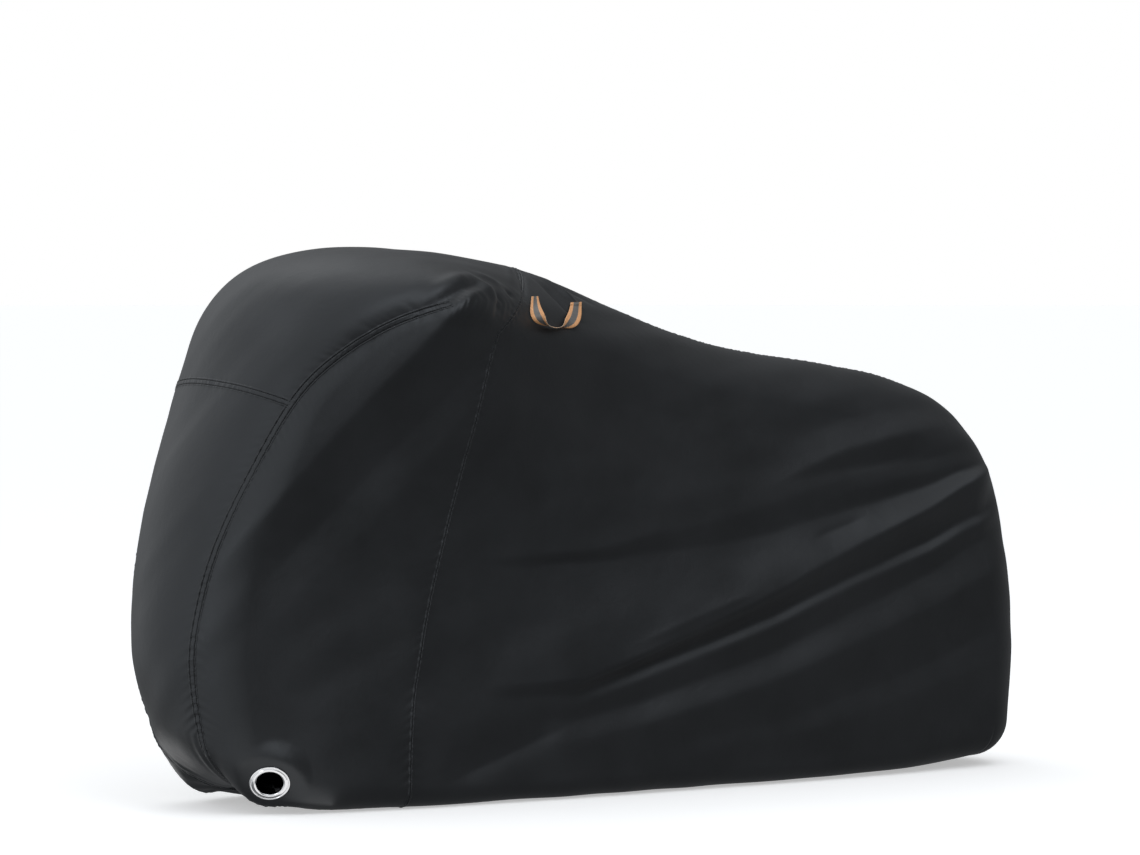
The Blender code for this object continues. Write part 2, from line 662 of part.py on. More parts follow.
# ---------------------------------------------------------------- materials
def principled(name, color, roughness, metallic=0.0):
    material = bpy.data.materials.new(name)
    material.use_nodes = True
    shader = material.node_tree.nodes["Principled BSDF"]
    shader.inputs["Base Color"].default_value = (*color, 1.0)
    shader.inputs["Roughness"].default_value = roughness
    shader.inputs["Metallic"].default_value = metallic
    return material


def main():
    for old in list(bpy.data.objects):
        bpy.data.objects.remove(old, do_unlink=True)
    points, normals, quads, labels = whole_cover()
    panels = {}
    for quad, label in zip(quads.tolist(), labels):
        panels.setdefault(label, []).append(quad)
    for label, faces in panels.items():
        panel_points, panel_normals = points, normals
        if label.startswith("side_front"):
            panel_points, panel_normals, faces = with_eyelet_hole(points, normals, faces, label.endswith("right"))
        cloth_material = principled(label + "_cloth", (0.018, 0.018, 0.020), 0.55)
        cloth_solid(label, panel_points, panel_normals, faces, cloth_material)
    for side, word in ((1, "left"), (-1, "right")):
        steel = principled("eyelet_steel_" + word, (0.80, 0.80, 0.82), 0.18, 1.0)
        turned_ring("lock_eyelet_" + word, eyelet_profile(), side, steel)
        back = principled("washer_steel_" + word, (0.70, 0.70, 0.72), 0.3, 1.0)
        turned_ring("lock_washer_" + word, washer_profile(), side, back)
    cloth = BVHTree.FromPolygons(points.tolist(), quads.tolist())
    reflective_loop(cloth, principled("reflective_tape", (0.85, 0.32, 0.08), 0.45))


main()
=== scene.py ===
"""Dressed bicycle cover: fine cloth with its folds, sewn seams, gathered hem, reflective loop and lock eyelets.

The surface is worked out as the part's own solids are, in a floor frame: x runs from the nose (-) to the tail (+),
y from the left-hand side (-) to the right-hand side (+), z up. HELD_POINT is the part's origin in that frame.
"""
import math

import bpy
import numpy as np
from mathutils import Matrix, Vector
from mathutils.bvhtree import BVHTree
from mathutils.kdtree import KDTree


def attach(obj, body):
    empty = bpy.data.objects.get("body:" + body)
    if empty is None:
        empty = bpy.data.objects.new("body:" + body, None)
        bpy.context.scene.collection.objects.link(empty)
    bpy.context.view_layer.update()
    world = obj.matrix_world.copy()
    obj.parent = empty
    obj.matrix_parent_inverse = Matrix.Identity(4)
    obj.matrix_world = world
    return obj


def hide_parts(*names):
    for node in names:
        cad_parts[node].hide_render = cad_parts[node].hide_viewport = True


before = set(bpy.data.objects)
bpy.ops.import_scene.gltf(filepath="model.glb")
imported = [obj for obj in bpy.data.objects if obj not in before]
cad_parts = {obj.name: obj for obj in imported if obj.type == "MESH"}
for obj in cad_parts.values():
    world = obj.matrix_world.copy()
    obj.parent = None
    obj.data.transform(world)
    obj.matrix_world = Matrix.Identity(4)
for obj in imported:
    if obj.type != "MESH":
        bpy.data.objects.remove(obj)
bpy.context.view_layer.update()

# ---------------------------------------------------------------- sizes, metres and degrees
SEAM_GAP = 0.0003
CLOTH = 0.002
KEEL = (-0.620, 0.750)              # the hem turns towards this stretch of the middle line, along x
HELD_POINT = np.array((-0.470, 0.0, 1.080))
FLOOR = -1.080
FLOOR_GLOW = 0.43
STUDIO_RADIUS = 40.0
VIEW_FROM = (-5.087, -9.516, 0.153)
VIEW_AZIMUTH = 30.0
# width of the view, focal length, and height of the eye line over the view's middle, all in one unit
VIEW_WIDTH, FOCAL, HORIZON = 1140.0, 5500.0, 256.5
SENSOR = 36.0
LIGHT_FROM = (-0.78, -0.02, 0.62)   # the studio is brightest on this side, and falls off away from it
LIGHT_STRENGTHS = (0.16, 0.80)
LIGHT_SPREAD = (-0.14, 0.30)

LOWER_ROWS = 150
BROW_ROWS = 56
HOOD_COLUMNS = 110
BACK_COLUMNS = 220
GUSSET_STEPS = 56
TURN_STEPS = 26
CURL_STEPS = 12
CHANNEL_STEPS = 4           # the elastic's channel beyond the turn
CHANNEL_WIDTH = 0.016
CHANNEL_THICK = 0.0035

EYELET_CENTRE = (-0.822, -0.167, 0.065)
EYELET_NORMAL = (-0.39, -0.77, -0.51)
EYELET_HOLE = 0.0265
EYELET_FLANGE = 0.039
EYELET_BARREL = 0.0285
EYELET_SEGMENTS = 96
FLAT_AROUND_EYELET = 0.048
FREE_AROUND_EYELET = 0.085

TAPE_WIDTH = 0.030
TAPE_THICK = 0.0014
TAPE_STEP = 0.0016              # weave along the tape for each step of the loop
LOOP_FACING = 30                # degrees that the loop is turned from square to the side towards the nose
LOOP_CENTRE = (-0.0835, 0.980)  # place across that facing, and height, of the middle between the two sewn ends
LOOP_SPAN = 0.082               # from leg to leg
LOOP_DEPTH = 0.052
LOOP_SQUARED = 0.72             # 1 hangs as half an ellipse, and less is squarer
LOOP_SLOPE = -10                # the sewn ends follow the edge of the back down to the tail
LOOP_FACED = 0.75               # how far the hanging legs turn from the wall to the loop's facing
LOOP_STAND_OFF = 0.004          # between the cloth and the tape's edge at the bottom of the loop
LOOP_LIFT = 0.0014              # more room under the legs than under the sewn ends
LOOP_STEPS = 120
LOOP_STRIPS = 18
LOOP_EASED = 60                 # rounds of smoothing along the tape
LOOP_NEAR = 8                   # steps to each side over which the clearance is evened out

BAR_END = (-0.470, 0.962)       # where the handlebar's end pushes the cloth out
BAR_END_RADIUS = 0.085
BAR_END_HEIGHT = 0.012
FAR_TUCKS = 0.8                 # height of the right-hand tucks, as a share of the left-hand ones
FAR_TUCKS_SHIFT = (0.012, 0, 0.004)
HEM_GATHER = 0.0036

# ---------------------------------------------------------------- the pattern, as sections
RIB_COLUMNS = ("place", "spine_x", "spine_z", "edge_x", "edge_z", "seam_turn")
RIBS = (
    ("nose hem",     -0.966, 0.165, -0.845, 0.112, 40),
    ("nose low",     -1.008, 0.288, -0.876, 0.278, 47),
    ("nose front",   -1.007, 0.398, -0.876, 0.383, 50),
    ("nose middle",  -0.978, 0.558, -0.848, 0.528, 55),
    ("nose high",    -0.930, 0.708, -0.803, 0.658, 60),
    ("cross seam",   -0.882, 0.828, -0.762, 0.768, 66),
    ("brow",         -0.838, 0.948, -0.695, 0.850, 74),
    ("brow top",     -0.762, 1.034, -0.630, 0.905, 79),
    ("hood front",   -0.630, 1.078, -0.560, 0.940, 80),
    ("hood middle",  -0.470, 1.082, -0.485, 0.955, 78),
    ("hood rear",    -0.330, 1.066, -0.430, 0.947, 74),
    ("side seam",    -0.208, 1.042, -0.392, 0.922, 66),
    ("back slope",    0.000, 0.970, -0.120, 0.880, 66),
    ("back low",      0.200, 0.898,  0.120, 0.812, 66),
    ("back flat",     0.450, 0.848,  0.420, 0.755, 66),
    ("tail top",      0.680, 0.806,  0.630, 0.710, 66),
    ("tail corner",   0.828, 0.738,  0.760, 0.650, 66),
    ("tail high",     0.912, 0.628,  0.818, 0.578, 66),
    ("tail middle",   0.957, 0.458,  0.848, 0.438, 66),
    ("tail low",      0.973, 0.278,  0.866, 0.278, 66),
    ("tail hem",      0.958, 0.092,  0.870, 0.088, 66),
)
WIDTH_STATIONS = (-0.95, -0.70, -0.45, -0.20, 0.10, 0.50, 0.95)
WIDTH_COLUMNS = ("height", "nose", "wheel", "bars", "side_seam", "frame", "saddle", "tail")
WIDTHS = (
    (0.05, 0.165, 0.200, 0.215, 0.215, 0.205, 0.180, 0.125),
    (0.30, 0.175, 0.205, 0.225, 0.228, 0.220, 0.185, 0.130),
    (0.55, 0.200, 0.225, 0.240, 0.235, 0.200, 0.160, 0.120),
    (0.75, 0.235, 0.260, 0.275, 0.228, 0.160, 0.115, 0.100),
    (0.95, 0.260, 0.300, 0.310, 0.205, 0.105, 0.070, 0.085),
)
SIDE_SEAM = (
    # x, z from the hem up
    (-0.540, 0.046),
    (-0.536, 0.200),
    (-0.514, 0.360),
    (-0.478, 0.530),
    (-0.442, 0.700),
    (-0.412, 0.840),
)
HEM_COLUMNS = ("x", "z", "turn_radius", "turn_under")
HEM = (
    (-1.020, 0.165, 0.160, 92),
    (-0.845, 0.112, 0.092, 104),
    (-0.760, 0.078, 0.070, 112),
    (-0.640, 0.054, 0.050, 118),
    (-0.450, 0.044, 0.040, 120),
    (0.100, 0.044, 0.040, 120),
    (0.600, 0.047, 0.040, 120),
    (0.760, 0.064, 0.050, 116),
    (0.870, 0.088, 0.064, 110),
    (0.990, 0.092, 0.074, 108),
)

# Broad soft folds, each along a bowed line on the side.
LEFT_FOLDS = (
    # start x z, end x z, bow, half width, height
    (-0.47, 0.060, -0.20, 0.150, 0.000, 0.045, -0.006),
    (-0.62, 0.700, -0.52, 0.200, 0.020, 0.060, 0.004),
    (-0.30, 0.900, -0.24, 0.420, 0.000, 0.050, -0.005),
)
RIGHT_FOLDS = (
    (-0.50, 0.945, -0.95, 0.520, 0.030, 0.060, 0.009),
    (-0.45, 0.880, -0.88, 0.440, 0.020, 0.075, -0.011),
    (0.05, 0.330, 0.82, 0.560, 0.015, 0.038, -0.019),
    (-0.10, 0.210, 0.78, 0.380, -0.025, 0.036, -0.017),
    (0.10, 0.270, 0.84, 0.470, -0.005, 0.046, 0.013),
    (0.36, 0.600, 0.80, 0.665, -0.010, 0.040, -0.013),
    (0.30, 0.120, 0.84, 0.240, 0.010, 0.040, -0.011),
)

# Pulled folds lie side by side in fans. Each line of a fan is a crest (+) or a bottom (-), given by its place across
# the fan at three stations along it, its height, and where along the fan it begins and ends.
LEFT_FANS = (
    # angle of the fan, stations, rounding of the lines, then the lines from the top down:
    # first, middle, last, height, begin, end
    (0, (-0.05, 0.42, 0.86), 0.005, (
        (0.550, 0.640, 0.725, 0.000, -0.30, 1.00),
        (0.505, 0.592, 0.687, 0.002, 0.20, 0.98),
        (0.475, 0.532, 0.630, -0.010, -0.42, 0.98),
        (0.275, 0.440, 0.611, 0.019, -0.40, 0.99),
        (0.244, 0.386, 0.533, -0.015, -0.22, 1.03),
        (0.220, 0.364, 0.512, -0.005, -0.20, 1.03),
        (0.182, 0.313, 0.479, -0.012, -0.30, 0.99),
        (0.134, 0.251, 0.403, 0.004, -0.10, 0.99),
        (0.085, 0.158, 0.284, -0.003, 0.00, 0.96),
        (0.062, 0.116, 0.222, 0.004, 0.25, 1.00),
        (0.040, 0.060, 0.134, 0.000, -0.30, 1.00),
    )),
    (0, (0.40, 0.62, 0.86), 0.006, (
        (0.750, 0.795, 0.810, 0.000, 0.30, 0.98),
        (0.700, 0.748, 0.768, -0.004, 0.30, 0.98),
        (0.632, 0.690, 0.712, 0.007, 0.30, 0.98),
        (0.616, 0.640, 0.662, -0.007, 0.36, 0.97),
        (0.557, 0.601, 0.633, 0.002, 0.46, 0.97),
        (0.540, 0.580, 0.612, 0.000, 0.30, 0.98),
    )),
    # the lit facet between the gusset's seam and the ridge from the handlebar's end to the nose
    (45, (-0.33, 0.00, 0.32), 0.006, (
        (1.040, 1.185, 1.110, 0.000, -0.34, 0.46),
        (1.002, 1.130, 1.068, -0.011, -0.33, 0.46),
        (1.000, 1.033, 1.040, 0.011, -0.34, 0.46),
        (0.918, 0.921, 0.922, -0.006, -0.42, 0.44),
        (0.850, 0.850, 0.870, 0.000, -0.46, 0.46),
    )),
)
RIGHT_FANS = (
    (45, (-0.33, 0.00, 0.32), 0.010, (
        (1.000, 1.130, 1.060, 0.000, -0.46, 0.46),
        (1.016, 1.085, 1.050, -0.008, -0.44, 0.42),
        (1.020, 1.046, 1.034, 0.006, -0.42, 0.43),
        (0.965, 0.980, 0.990, -0.005, -0.40, 0.42),
        (0.880, 0.890, 0.920, 0.000, -0.46, 0.46),
    )),
)

# Creases with a gentle flank above and a steep one below: a crest (+) or a trough (-) along a curve through its
# start, middle and end on the side, with the reach of its flank above and below it and its height.
LEFT_CREASES = (
    # start x z, middle x z, end x z, above, below, height
    (0.39, 0.489, 0.470, 0.511, 0.555, 0.533, 0.012, 0.020, -0.004),
    (-0.50, 0.035, -0.34, 0.092, -0.16, 0.160, 0.030, 0.040, -0.004),
    (-0.06, 0.300, 0.10, 0.352, 0.26, 0.398, 0.020, 0.016, 0.003),
)
RIGHT_CREASES = (
    (0.02, 0.352, 0.44, 0.448, 0.84, 0.590, 0.070, 0.018, 0.012),
    (0.06, 0.322, 0.44, 0.418, 0.84, 0.552, 0.012, 0.018, -0.007),
    (-0.06, 0.255, 0.36, 0.338, 0.86, 0.470, 0.016, 0.012, 0.007),
    (-0.14, 0.205, 0.30, 0.275, 0.80, 0.390, 0.012, 0.024, -0.007),
    (0.20, 0.150, 0.54, 0.200, 0.90, 0.290, 0.040, 0.020, 0.007),
    (0.28, 0.110, 0.56, 0.150, 0.86, 0.225, 0.016, 0.026, -0.005),
    (0.30, 0.618, 0.56, 0.640, 0.86, 0.690, 0.030, 0.016, 0.007),
    (0.50, 0.560, 0.68, 0.588, 0.90, 0.625, 0.016, 0.012, 0.004),
)

# Tucks where the cloth hangs from the handlebar's end and from the top of the side seam: a ridge (+) or a pinch (-)
# between two points in space.
TUCKS = (
    # start, end, reach, height
    ((-0.560, -0.310, 0.985), (-0.440, -0.268, 1.030), 0.017, 0.010),
    ((-0.440, -0.268, 1.030), (-0.372, -0.300, 0.975), 0.014, 0.007),
    ((-0.415, -0.240, 1.040), (-0.345, -0.230, 1.015), 0.012, 0.005),
    ((-0.400, -0.300, 0.960), (-0.375, -0.265, 1.005), 0.013, -0.006),
    ((-0.545, -0.318, 0.950), (-0.400, -0.315, 0.930), 0.020, -0.005),
    ((-0.360, -0.225, 1.000), (-0.320, -0.235, 0.990), 0.008, -0.005),
    ((-0.225, -0.075, 1.036), (-0.285, -0.205, 0.985), 0.010, -0.010),
    ((-0.250, -0.075, 1.045), (-0.315, -0.200, 1.000), 0.012, 0.006),
    ((-0.180, -0.045, 1.026), (-0.105, -0.110, 0.970), 0.010, 0.009),
    ((-0.195, -0.090, 1.010), (-0.130, -0.160, 0.945), 0.014, -0.007),
    ((-0.150, -0.030, 1.020), (-0.060, -0.070, 0.975), 0.012, -0.006),
)


# ---------------------------------------------------------------- curves and fields
def column(rows, names, name):
    return np.array([row[names.index(name)] for row in rows])


def natural_spline(knots, values):
    """Smooth curve through values at knots; returns a function of the parameter."""
    knots = np.asarray(knots, float)
    values = np.asarray(values, float)
    if values.ndim == 1:
        values = values[:, None]
    count = len(knots)
    step = np.diff(knots)
    system = np.zeros((count, count))
    right = np.zeros((count, values.shape[1]))
    system[0, 0] = system[-1, -1] = 1.0
    for i in range(1, count - 1):
        system[i, i - 1:i + 2] = step[i - 1], 2 * (step[i - 1] + step[i]), step[i]
        right[i] = 6 * ((values[i + 1] - values[i]) / step[i] - (values[i] - values[i - 1]) / step[i - 1])
    bend = np.linalg.solve(system, right)

    def at(x):
        x = np.atleast_1d(np.asarray(x, float))
        i = np.clip(np.searchsorted(knots, x) - 1, 0, count - 2)
        h = step[i][:, None]
        a = (knots[i + 1] - x)[:, None] / h
        b = 1 - a
        return a * values[i] + b * values[i + 1] + ((a**3 - a) * bend[i] + (b**3 - b) * bend[i + 1]) * h**2 / 6

    return at


def chord_knots(points):
    return np.concatenate([[0], np.cumsum(np.linalg.norm(np.diff(points, axis=0), axis=1))])


def sampled(line, reach, wanted):
    """Values of a line's columns at wanted distances along it."""
    return np.stack([np.interp(wanted, reach, line[:, k]) for k in range(line.shape[1])], -1)


def evenly(curve, count):
    """count + 1 points at even spacing along a polyline."""
    reach = chord_knots(curve)
    return sampled(curve, reach, np.linspace(0, reach[-1], count + 1))


def unit(vectors):
    return vectors / np.linalg.norm(vectors, axis=-1, keepdims=True)


def smooth_step(x):
    x = np.clip(x, 0, 1)
    return x * x * (3 - 2 * x)


def faded(along, share):
    """1 along the middle of a length, down to 0 at both its ends."""
    return smooth_step(along / share) * smooth_step((1 - along) / share)


def lattice_noise(x, y, cell, seed):
    """Smooth noise between about -1 and 1 on a square lattice."""
    grid = np.random.default_rng(seed).uniform(-1, 1, (64, 64))
    u, v = np.asarray(x) / cell, np.asarray(y) / cell
    i, j = np.floor(u).astype(int), np.floor(v).astype(int)
    a, b = smooth_step(u - i), smooth_step(v - j)
    i, j = i % 64, j % 64
    i2, j2 = (i + 1) % 64, (j + 1) % 64
    low = grid[i, j] * (1 - a) + grid[i2, j] * a
    high = grid[i, j2] * (1 - a) + grid[i2, j2] * a
    return low * (1 - b) + high * b


RIB_NAMES = [row[0] for row in RIBS]
RIB_VALUES = np.stack([column(RIBS, RIB_COLUMNS, name) for name in RIB_COLUMNS[1:]], 1)
RIB_KNOTS = chord_knots(RIB_VALUES[:, :2])
rib_at = natural_spline(RIB_KNOTS, RIB_VALUES)
width_rows = [natural_spline(WIDTH_STATIONS, row[1:]) for row in WIDTHS]
width_blend = natural_spline(column(WIDTHS, WIDTH_COLUMNS, "height"), np.eye(len(WIDTHS)))
hem_x = column(HEM, HEM_COLUMNS, "x")
hem_height_at = natural_spline(hem_x[1:-1], column(HEM, HEM_COLUMNS, "z")[1:-1])
hem_turn_at = natural_spline(hem_x, np.stack([column(HEM, HEM_COLUMNS, "turn_radius"),
                                              column(HEM, HEM_COLUMNS, "turn_under")], 1))


def half_width(x, z):
    """Distance of the side wall from the middle plane."""
    flat_x = np.clip(np.ravel(x), -1.05, 1.02)
    flat_z = np.clip(np.ravel(z), 0.0, 1.1)
    rows = np.stack([row(flat_x)[:, 0] for row in width_rows], 1)
    return (rows * width_blend(flat_z)).sum(1).reshape(np.shape(x))


def fold_height(x, z, folds):
    """Sum of the broad folds' heights at points of the side."""
    total = np.zeros(np.shape(x))
    for start_x, start_z, end_x, end_z, bow, half, height in folds:
        length = math.hypot(end_x - start_x, end_z - start_z)
        along_x, along_z = (end_x - start_x) / length, (end_z - start_z) / length
        along = ((x - start_x) * along_x + (z - start_z) * along_z) / length
        across = -(x - start_x) * along_z + (z - start_z) * along_x - bow * 4 * along * (1 - along)
        total += height * faded(along, 0.22) * np.exp(-(across / half)**2 * 1.4)
    return total


def crease_height(x, z, creases):
    """Sum of the creases' heights at points of the side."""
    total = np.zeros(np.shape(x))
    for x0, z0, x1, z1, x2, z2, above, below, height in creases:
        curve = np.polyfit((x0, x1, x2), (z0, z1, z2), 2)
        slope = np.polyval(np.polyder(curve), x)
        across = (z - np.polyval(curve, x)) / np.sqrt(1 + slope * slope)
        along = (x - x0) / (x2 - x0)
        ends = faded(along, 0.35)
        reach = np.where(across > 0, above, below) * (0.45 + 0.55 * ends)
        rounding = 0.003
        total += height * ends * np.exp(-(np.sqrt(across**2 + rounding**2) - rounding) / reach * 1.3)
    return total


def fan_height(x, z, fans):
    """Height of the fans of pulled folds: straight-sided between their lines, rounded at the lines."""
    total = np.zeros(np.shape(x))
    for angle, stations, rounding, lines in fans:
        cos, sin = math.cos(math.radians(angle)), math.sin(math.radians(angle))
        along, across = x * cos + z * sin, z * cos - x * sin
        wander = 0.004 * lattice_noise(along, across * 0.2 + angle, 0.10, 31)
        uneven = 1 + 0.25 * lattice_noise(along, across * 0.5 + angle, 0.13, 32)
        levels, heights = [], []
        for first, middle, last, height, begin, end in lines:
            curve = np.polyfit(stations, (first, middle, last), 2)
            nearby = np.clip(along, stations[0] - 0.12, stations[-1] + 0.12)
            levels.append(np.polyval(curve, nearby))
            taper = smooth_step((along - begin) / 0.20) * smooth_step((end - along) / 0.16)
            heights.append(height * taper * uneven)
        for shift in np.linspace(-1, 1, 5) * rounding:
            for k in range(len(lines) - 1):
                gap = np.maximum(levels[k] - levels[k + 1], 0.004)
                part = np.clip((levels[k] - across - shift - wander) / gap, 0, 1)
                part = 0.6 * part + 0.4 * smooth_step(part)
                total += (heights[k + 1] - heights[k]) * part / 5
    return total


def tuck_height(points):
    """Sum of the tucks' heights at points in space."""
    total = np.zeros(len(points))
    for start, end, reach, height in TUCKS:
        start, end = np.array(start), np.array(end)
        axis = end - start
        along = np.clip((points - start) @ axis / (axis @ axis), 0, 1)
        away = np.linalg.norm(points - start - along[:, None] * axis, axis=1)
        total += height * (0.35 + 0.65 * faded(along, 0.35)) * np.exp(-(away / reach)**2)
    return total


# ---------------------------------------------------------------- the smooth cover, one half
def coons(left, right, bottom, top):
    """Surface between four edges, as its columns in the side's plane."""
    u = np.linspace(0, 1, len(bottom))[None, :, None]
    v = np.linspace(0, 1, len(left))[:, None, None]
    edges = (1 - u) * left[:, None] + u * right[:, None] + (1 - v) * bottom[None] + v * top[None]
    corners = (1 - u) * ((1 - v) * bottom[0] + v * top[0]) + u * ((1 - v) * bottom[-1] + v * top[-1])
    return edges - corners


def rib_parameters():
    """Where the fine surface's ribs lie along the table of ribs."""
    rows = LOWER_ROWS + BROW_ROWS
    marks = ("nose hem", "cross seam", "brow top", "side seam", "tail corner", "tail hem")
    counts = (LOWER_ROWS, BROW_ROWS, HOOD_COLUMNS, BACK_COLUMNS, rows)
    knots = [RIB_KNOTS[RIB_NAMES.index(mark)] for mark in marks]
    pieces = [np.linspace(a, b, n + 1)[1:] for a, b, n in zip(knots, knots[1:], counts)]
    return np.concatenate([knots[:1]] + pieces)


def hem_line(start, end, count):
    """The hem of a side panel between two of its corners."""
    x = np.linspace(start[0], end[0], 400)
    line = np.stack([x, hem_height_at(x)[:, 0]], 1)
    line[0], line[-1] = start, end
    return evenly(line, count)


class HalfCover:
    """Left half of the smooth cover: points, and quads labelled with the panel they belong to."""

    def __init__(self):
        self.points = []
        self.quads = []
        self.labels = []
        self.build()

    def add_grid(self, grid, known):
        """Add a grid's points, and return their numbers; those that are there already are known, not -1."""
        new = known < 0
        known[new] = len(self.points) + np.arange(new.sum())
        self.points.extend(grid[new])
        return known

    def add_quads(self, ids, labels):
        corners = np.stack([ids[:-1, :-1], ids[:-1, 1:], ids[1:, 1:], ids[1:, :-1]], -1)
        self.quads.append(corners.reshape(-1, 4))
        self.labels.append(np.broadcast_to(labels, corners.shape[:2]).reshape(-1))

    def build(self):
        rows = LOWER_ROWS + BROW_ROWS
        turn_steps = GUSSET_STEPS + TURN_STEPS
        seam_rib = rows + HOOD_COLUMNS
        corner_rib = seam_rib + BACK_COLUMNS
        last_rib = corner_rib + rows

        ribs = rib_at(rib_parameters())
        spine, edge = ribs[:, 0:2], ribs[:, 2:4]
        seam_turn = np.radians(ribs[:, 4])[:, None]
        inner = np.arange(GUSSET_STEPS) / GUSSET_STEPS
        outer = np.arange(TURN_STEPS + 1) / TURN_STEPS
        turn = np.concatenate([seam_turn * inner, seam_turn + (math.pi / 2 - seam_turn) * outer], 1)
        side = spine[:, None] + (edge - spine)[:, None] * (1 - np.cos(turn))[..., None]
        across = -half_width(side[..., 0], side[..., 1]) * np.sin(turn)
        strip = np.stack([side[..., 0], across, side[..., 1]], -1)
        strip_ids = self.add_grid(strip, np.full(strip.shape[:2], -1))
        row, col = np.meshgrid(np.arange(last_rib), np.arange(turn_steps), indexing="ij")
        gusset = np.where(row < LOWER_ROWS, "front_gusset", "hood")
        front = np.where(col >= GUSSET_STEPS, "side_front", gusset)
        self.add_quads(strip_ids, np.where(row >= seam_rib, "side_rear", front))

        seam_points = np.array(SIDE_SEAM + (tuple(edge[seam_rib]),))
        seam_knots = chord_knots(seam_points)
        seam_curve = natural_spline(seam_knots, seam_points)(np.linspace(0, seam_knots[-1], 400))
        seam = evenly(seam_curve, rows)
        front_hem = hem_line(edge[0], seam[0], HOOD_COLUMNS)
        rear_hem = hem_line(seam[0], edge[last_rib], BACK_COLUMNS)
        front = coons(edge[:rows + 1], seam, front_hem, edge[rows:seam_rib + 1])
        rear = coons(seam, edge[corner_rib:][::-1], rear_hem, edge[seam_rib:corner_rib + 1])
        front, rear = (np.stack([flat[..., 0], -half_width(flat[..., 0], flat[..., 1]), flat[..., 1]], -1)
                       for flat in (front, rear))

        wall = strip_ids[:, turn_steps]
        known = np.full(front.shape[:2], -1)
        known[:, 0] = wall[:rows + 1]
        known[rows] = wall[rows:seam_rib + 1]
        front_ids = self.add_grid(front, known)
        known = np.full(rear.shape[:2], -1)
        known[:, 0] = front_ids[:, HOOD_COLUMNS]
        known[rows] = wall[seam_rib:corner_rib + 1]
        known[:rows, BACK_COLUMNS] = wall[:corner_rib:-1]
        rear_ids = self.add_grid(rear, known)
        self.add_quads(front_ids, "side_front")
        self.add_quads(rear_ids, "side_rear")

        loop = np.concatenate([strip_ids[0], front_ids[0, 1:], rear_ids[0, 1:], strip_ids[-1, -2::-1]])
        above = np.concatenate([strip_ids[1], front_ids[1, 1:], rear_ids[1, 1:], strip_ids[-2, -2::-1]])
        self.curl = curl = self.add_curl(loop, above, seam_column=turn_steps + HOOD_COLUMNS)
        self.seams = {
            "gusset": np.concatenate([curl[::-1, GUSSET_STEPS], strip_ids[1:seam_rib + 1, GUSSET_STEPS]]),
            "cross": strip_ids[LOWER_ROWS, :GUSSET_STEPS + 1],
            "side": np.concatenate([curl[::-1, turn_steps + HOOD_COLUMNS], front_ids[1:, HOOD_COLUMNS],
                                    strip_ids[seam_rib, -2::-1]]),
            "back": np.concatenate([strip_ids[seam_rib:, 0], curl[1:, -1]]),
        }

    def add_curl(self, loop, above, seam_column):
        """The hem turned under, and the elastic's channel folded back inside it."""
        points = np.array(self.points)
        start = points[loop]
        forward = np.gradient(start, axis=0)
        forward[0], forward[-1] = (0, -1, 0), (0, 1, 0)
        forward = unit(forward)
        inward = -start
        inward[:, 0] += np.clip(start[:, 0], *KEEL)
        inward[:, 2] = 0
        inward = unit(inward)
        slope = start - points[above]
        slope -= (slope * forward).sum(1)[:, None] * forward
        down = (slope * inward).sum(1)[:, None] * inward
        down[:, 2] = slope[:, 2]
        down = unit(down)
        radius, turn_under = hem_turn_at(start[:, 0]).T[:, :, None]
        last = np.radians(turn_under)
        grid = [start]
        for step in range(1, CURL_STEPS + 1):
            turn = last * step / CURL_STEPS
            grid.append(start + radius * (np.sin(turn) * down + (1 - np.cos(turn)) * inward))
        onward = np.cos(last) * down + np.sin(last) * inward
        inside = -(np.sin(last) * down - np.cos(last) * inward)
        # the channel runs on from the turn, round its own edge and back
        channel = [(CHANNEL_WIDTH * step / CHANNEL_STEPS, 0) for step in range(1, CHANNEL_STEPS + 1)]
        for turn in (math.pi / 3, math.pi * 2 / 3, math.pi):
            channel.append((CHANNEL_WIDTH + math.sin(turn) * CHANNEL_THICK / 2,
                            (1 - math.cos(turn)) * CHANNEL_THICK / 2))
        channel += [(CHANNEL_WIDTH * (1 - step / CHANNEL_STEPS), CHANNEL_THICK) for step in range(1, CHANNEL_STEPS + 1)]
        grid = np.array(grid + [grid[-1] + onward * out + inside * deep for out, deep in channel])
        grid[:, 0, 1] = grid[:, -1, 1] = 0
        known = np.full(grid.shape[:2], -1)
        known[0] = loop
        ids = self.add_grid(grid, known)
        col = np.arange(len(loop) - 1)[None]
        label = np.where(col < GUSSET_STEPS, "front_gusset", np.where(col < seam_column, "side_front", "side_rear"))
        self.add_quads(ids[::-1], label)
        return ids


# ---------------------------------------------------------------- the whole cover, folded
def vertex_normals(points, quads):
    normals = np.zeros_like(points)
    a, b, c, d = (points[quads[:, k]] for k in range(4))
    face = np.cross(c - a, d - b)
    for k in range(4):
        np.add.at(normals, quads[:, k], face)
    return normals / np.maximum(np.linalg.norm(normals, axis=1), 1e-12)[:, None]


def eyelet_frame(side):
    """Centre, outward normal and two directions in the plane of an eyelet; side is 1 left, -1 right."""
    mirror = np.array((1, side, 1))
    normal = unit(np.array(EYELET_NORMAL) * mirror)
    first = unit(np.cross((0, 0, 1), normal))
    return np.array(EYELET_CENTRE) * mirror, normal, first, np.cross(normal, first)


def from_eyelet(points, side):
    """Height of points over an eyelet's plane, and their distance from its middle line."""
    centre, normal, _, _ = eyelet_frame(side)
    rise = (points - centre) @ normal
    return rise, np.linalg.norm(points - centre - rise[:, None] * normal, axis=1)


def spoke(side, turn):
    _, _, first, second = eyelet_frame(side)
    return first * math.cos(turn) + second * math.sin(turn)


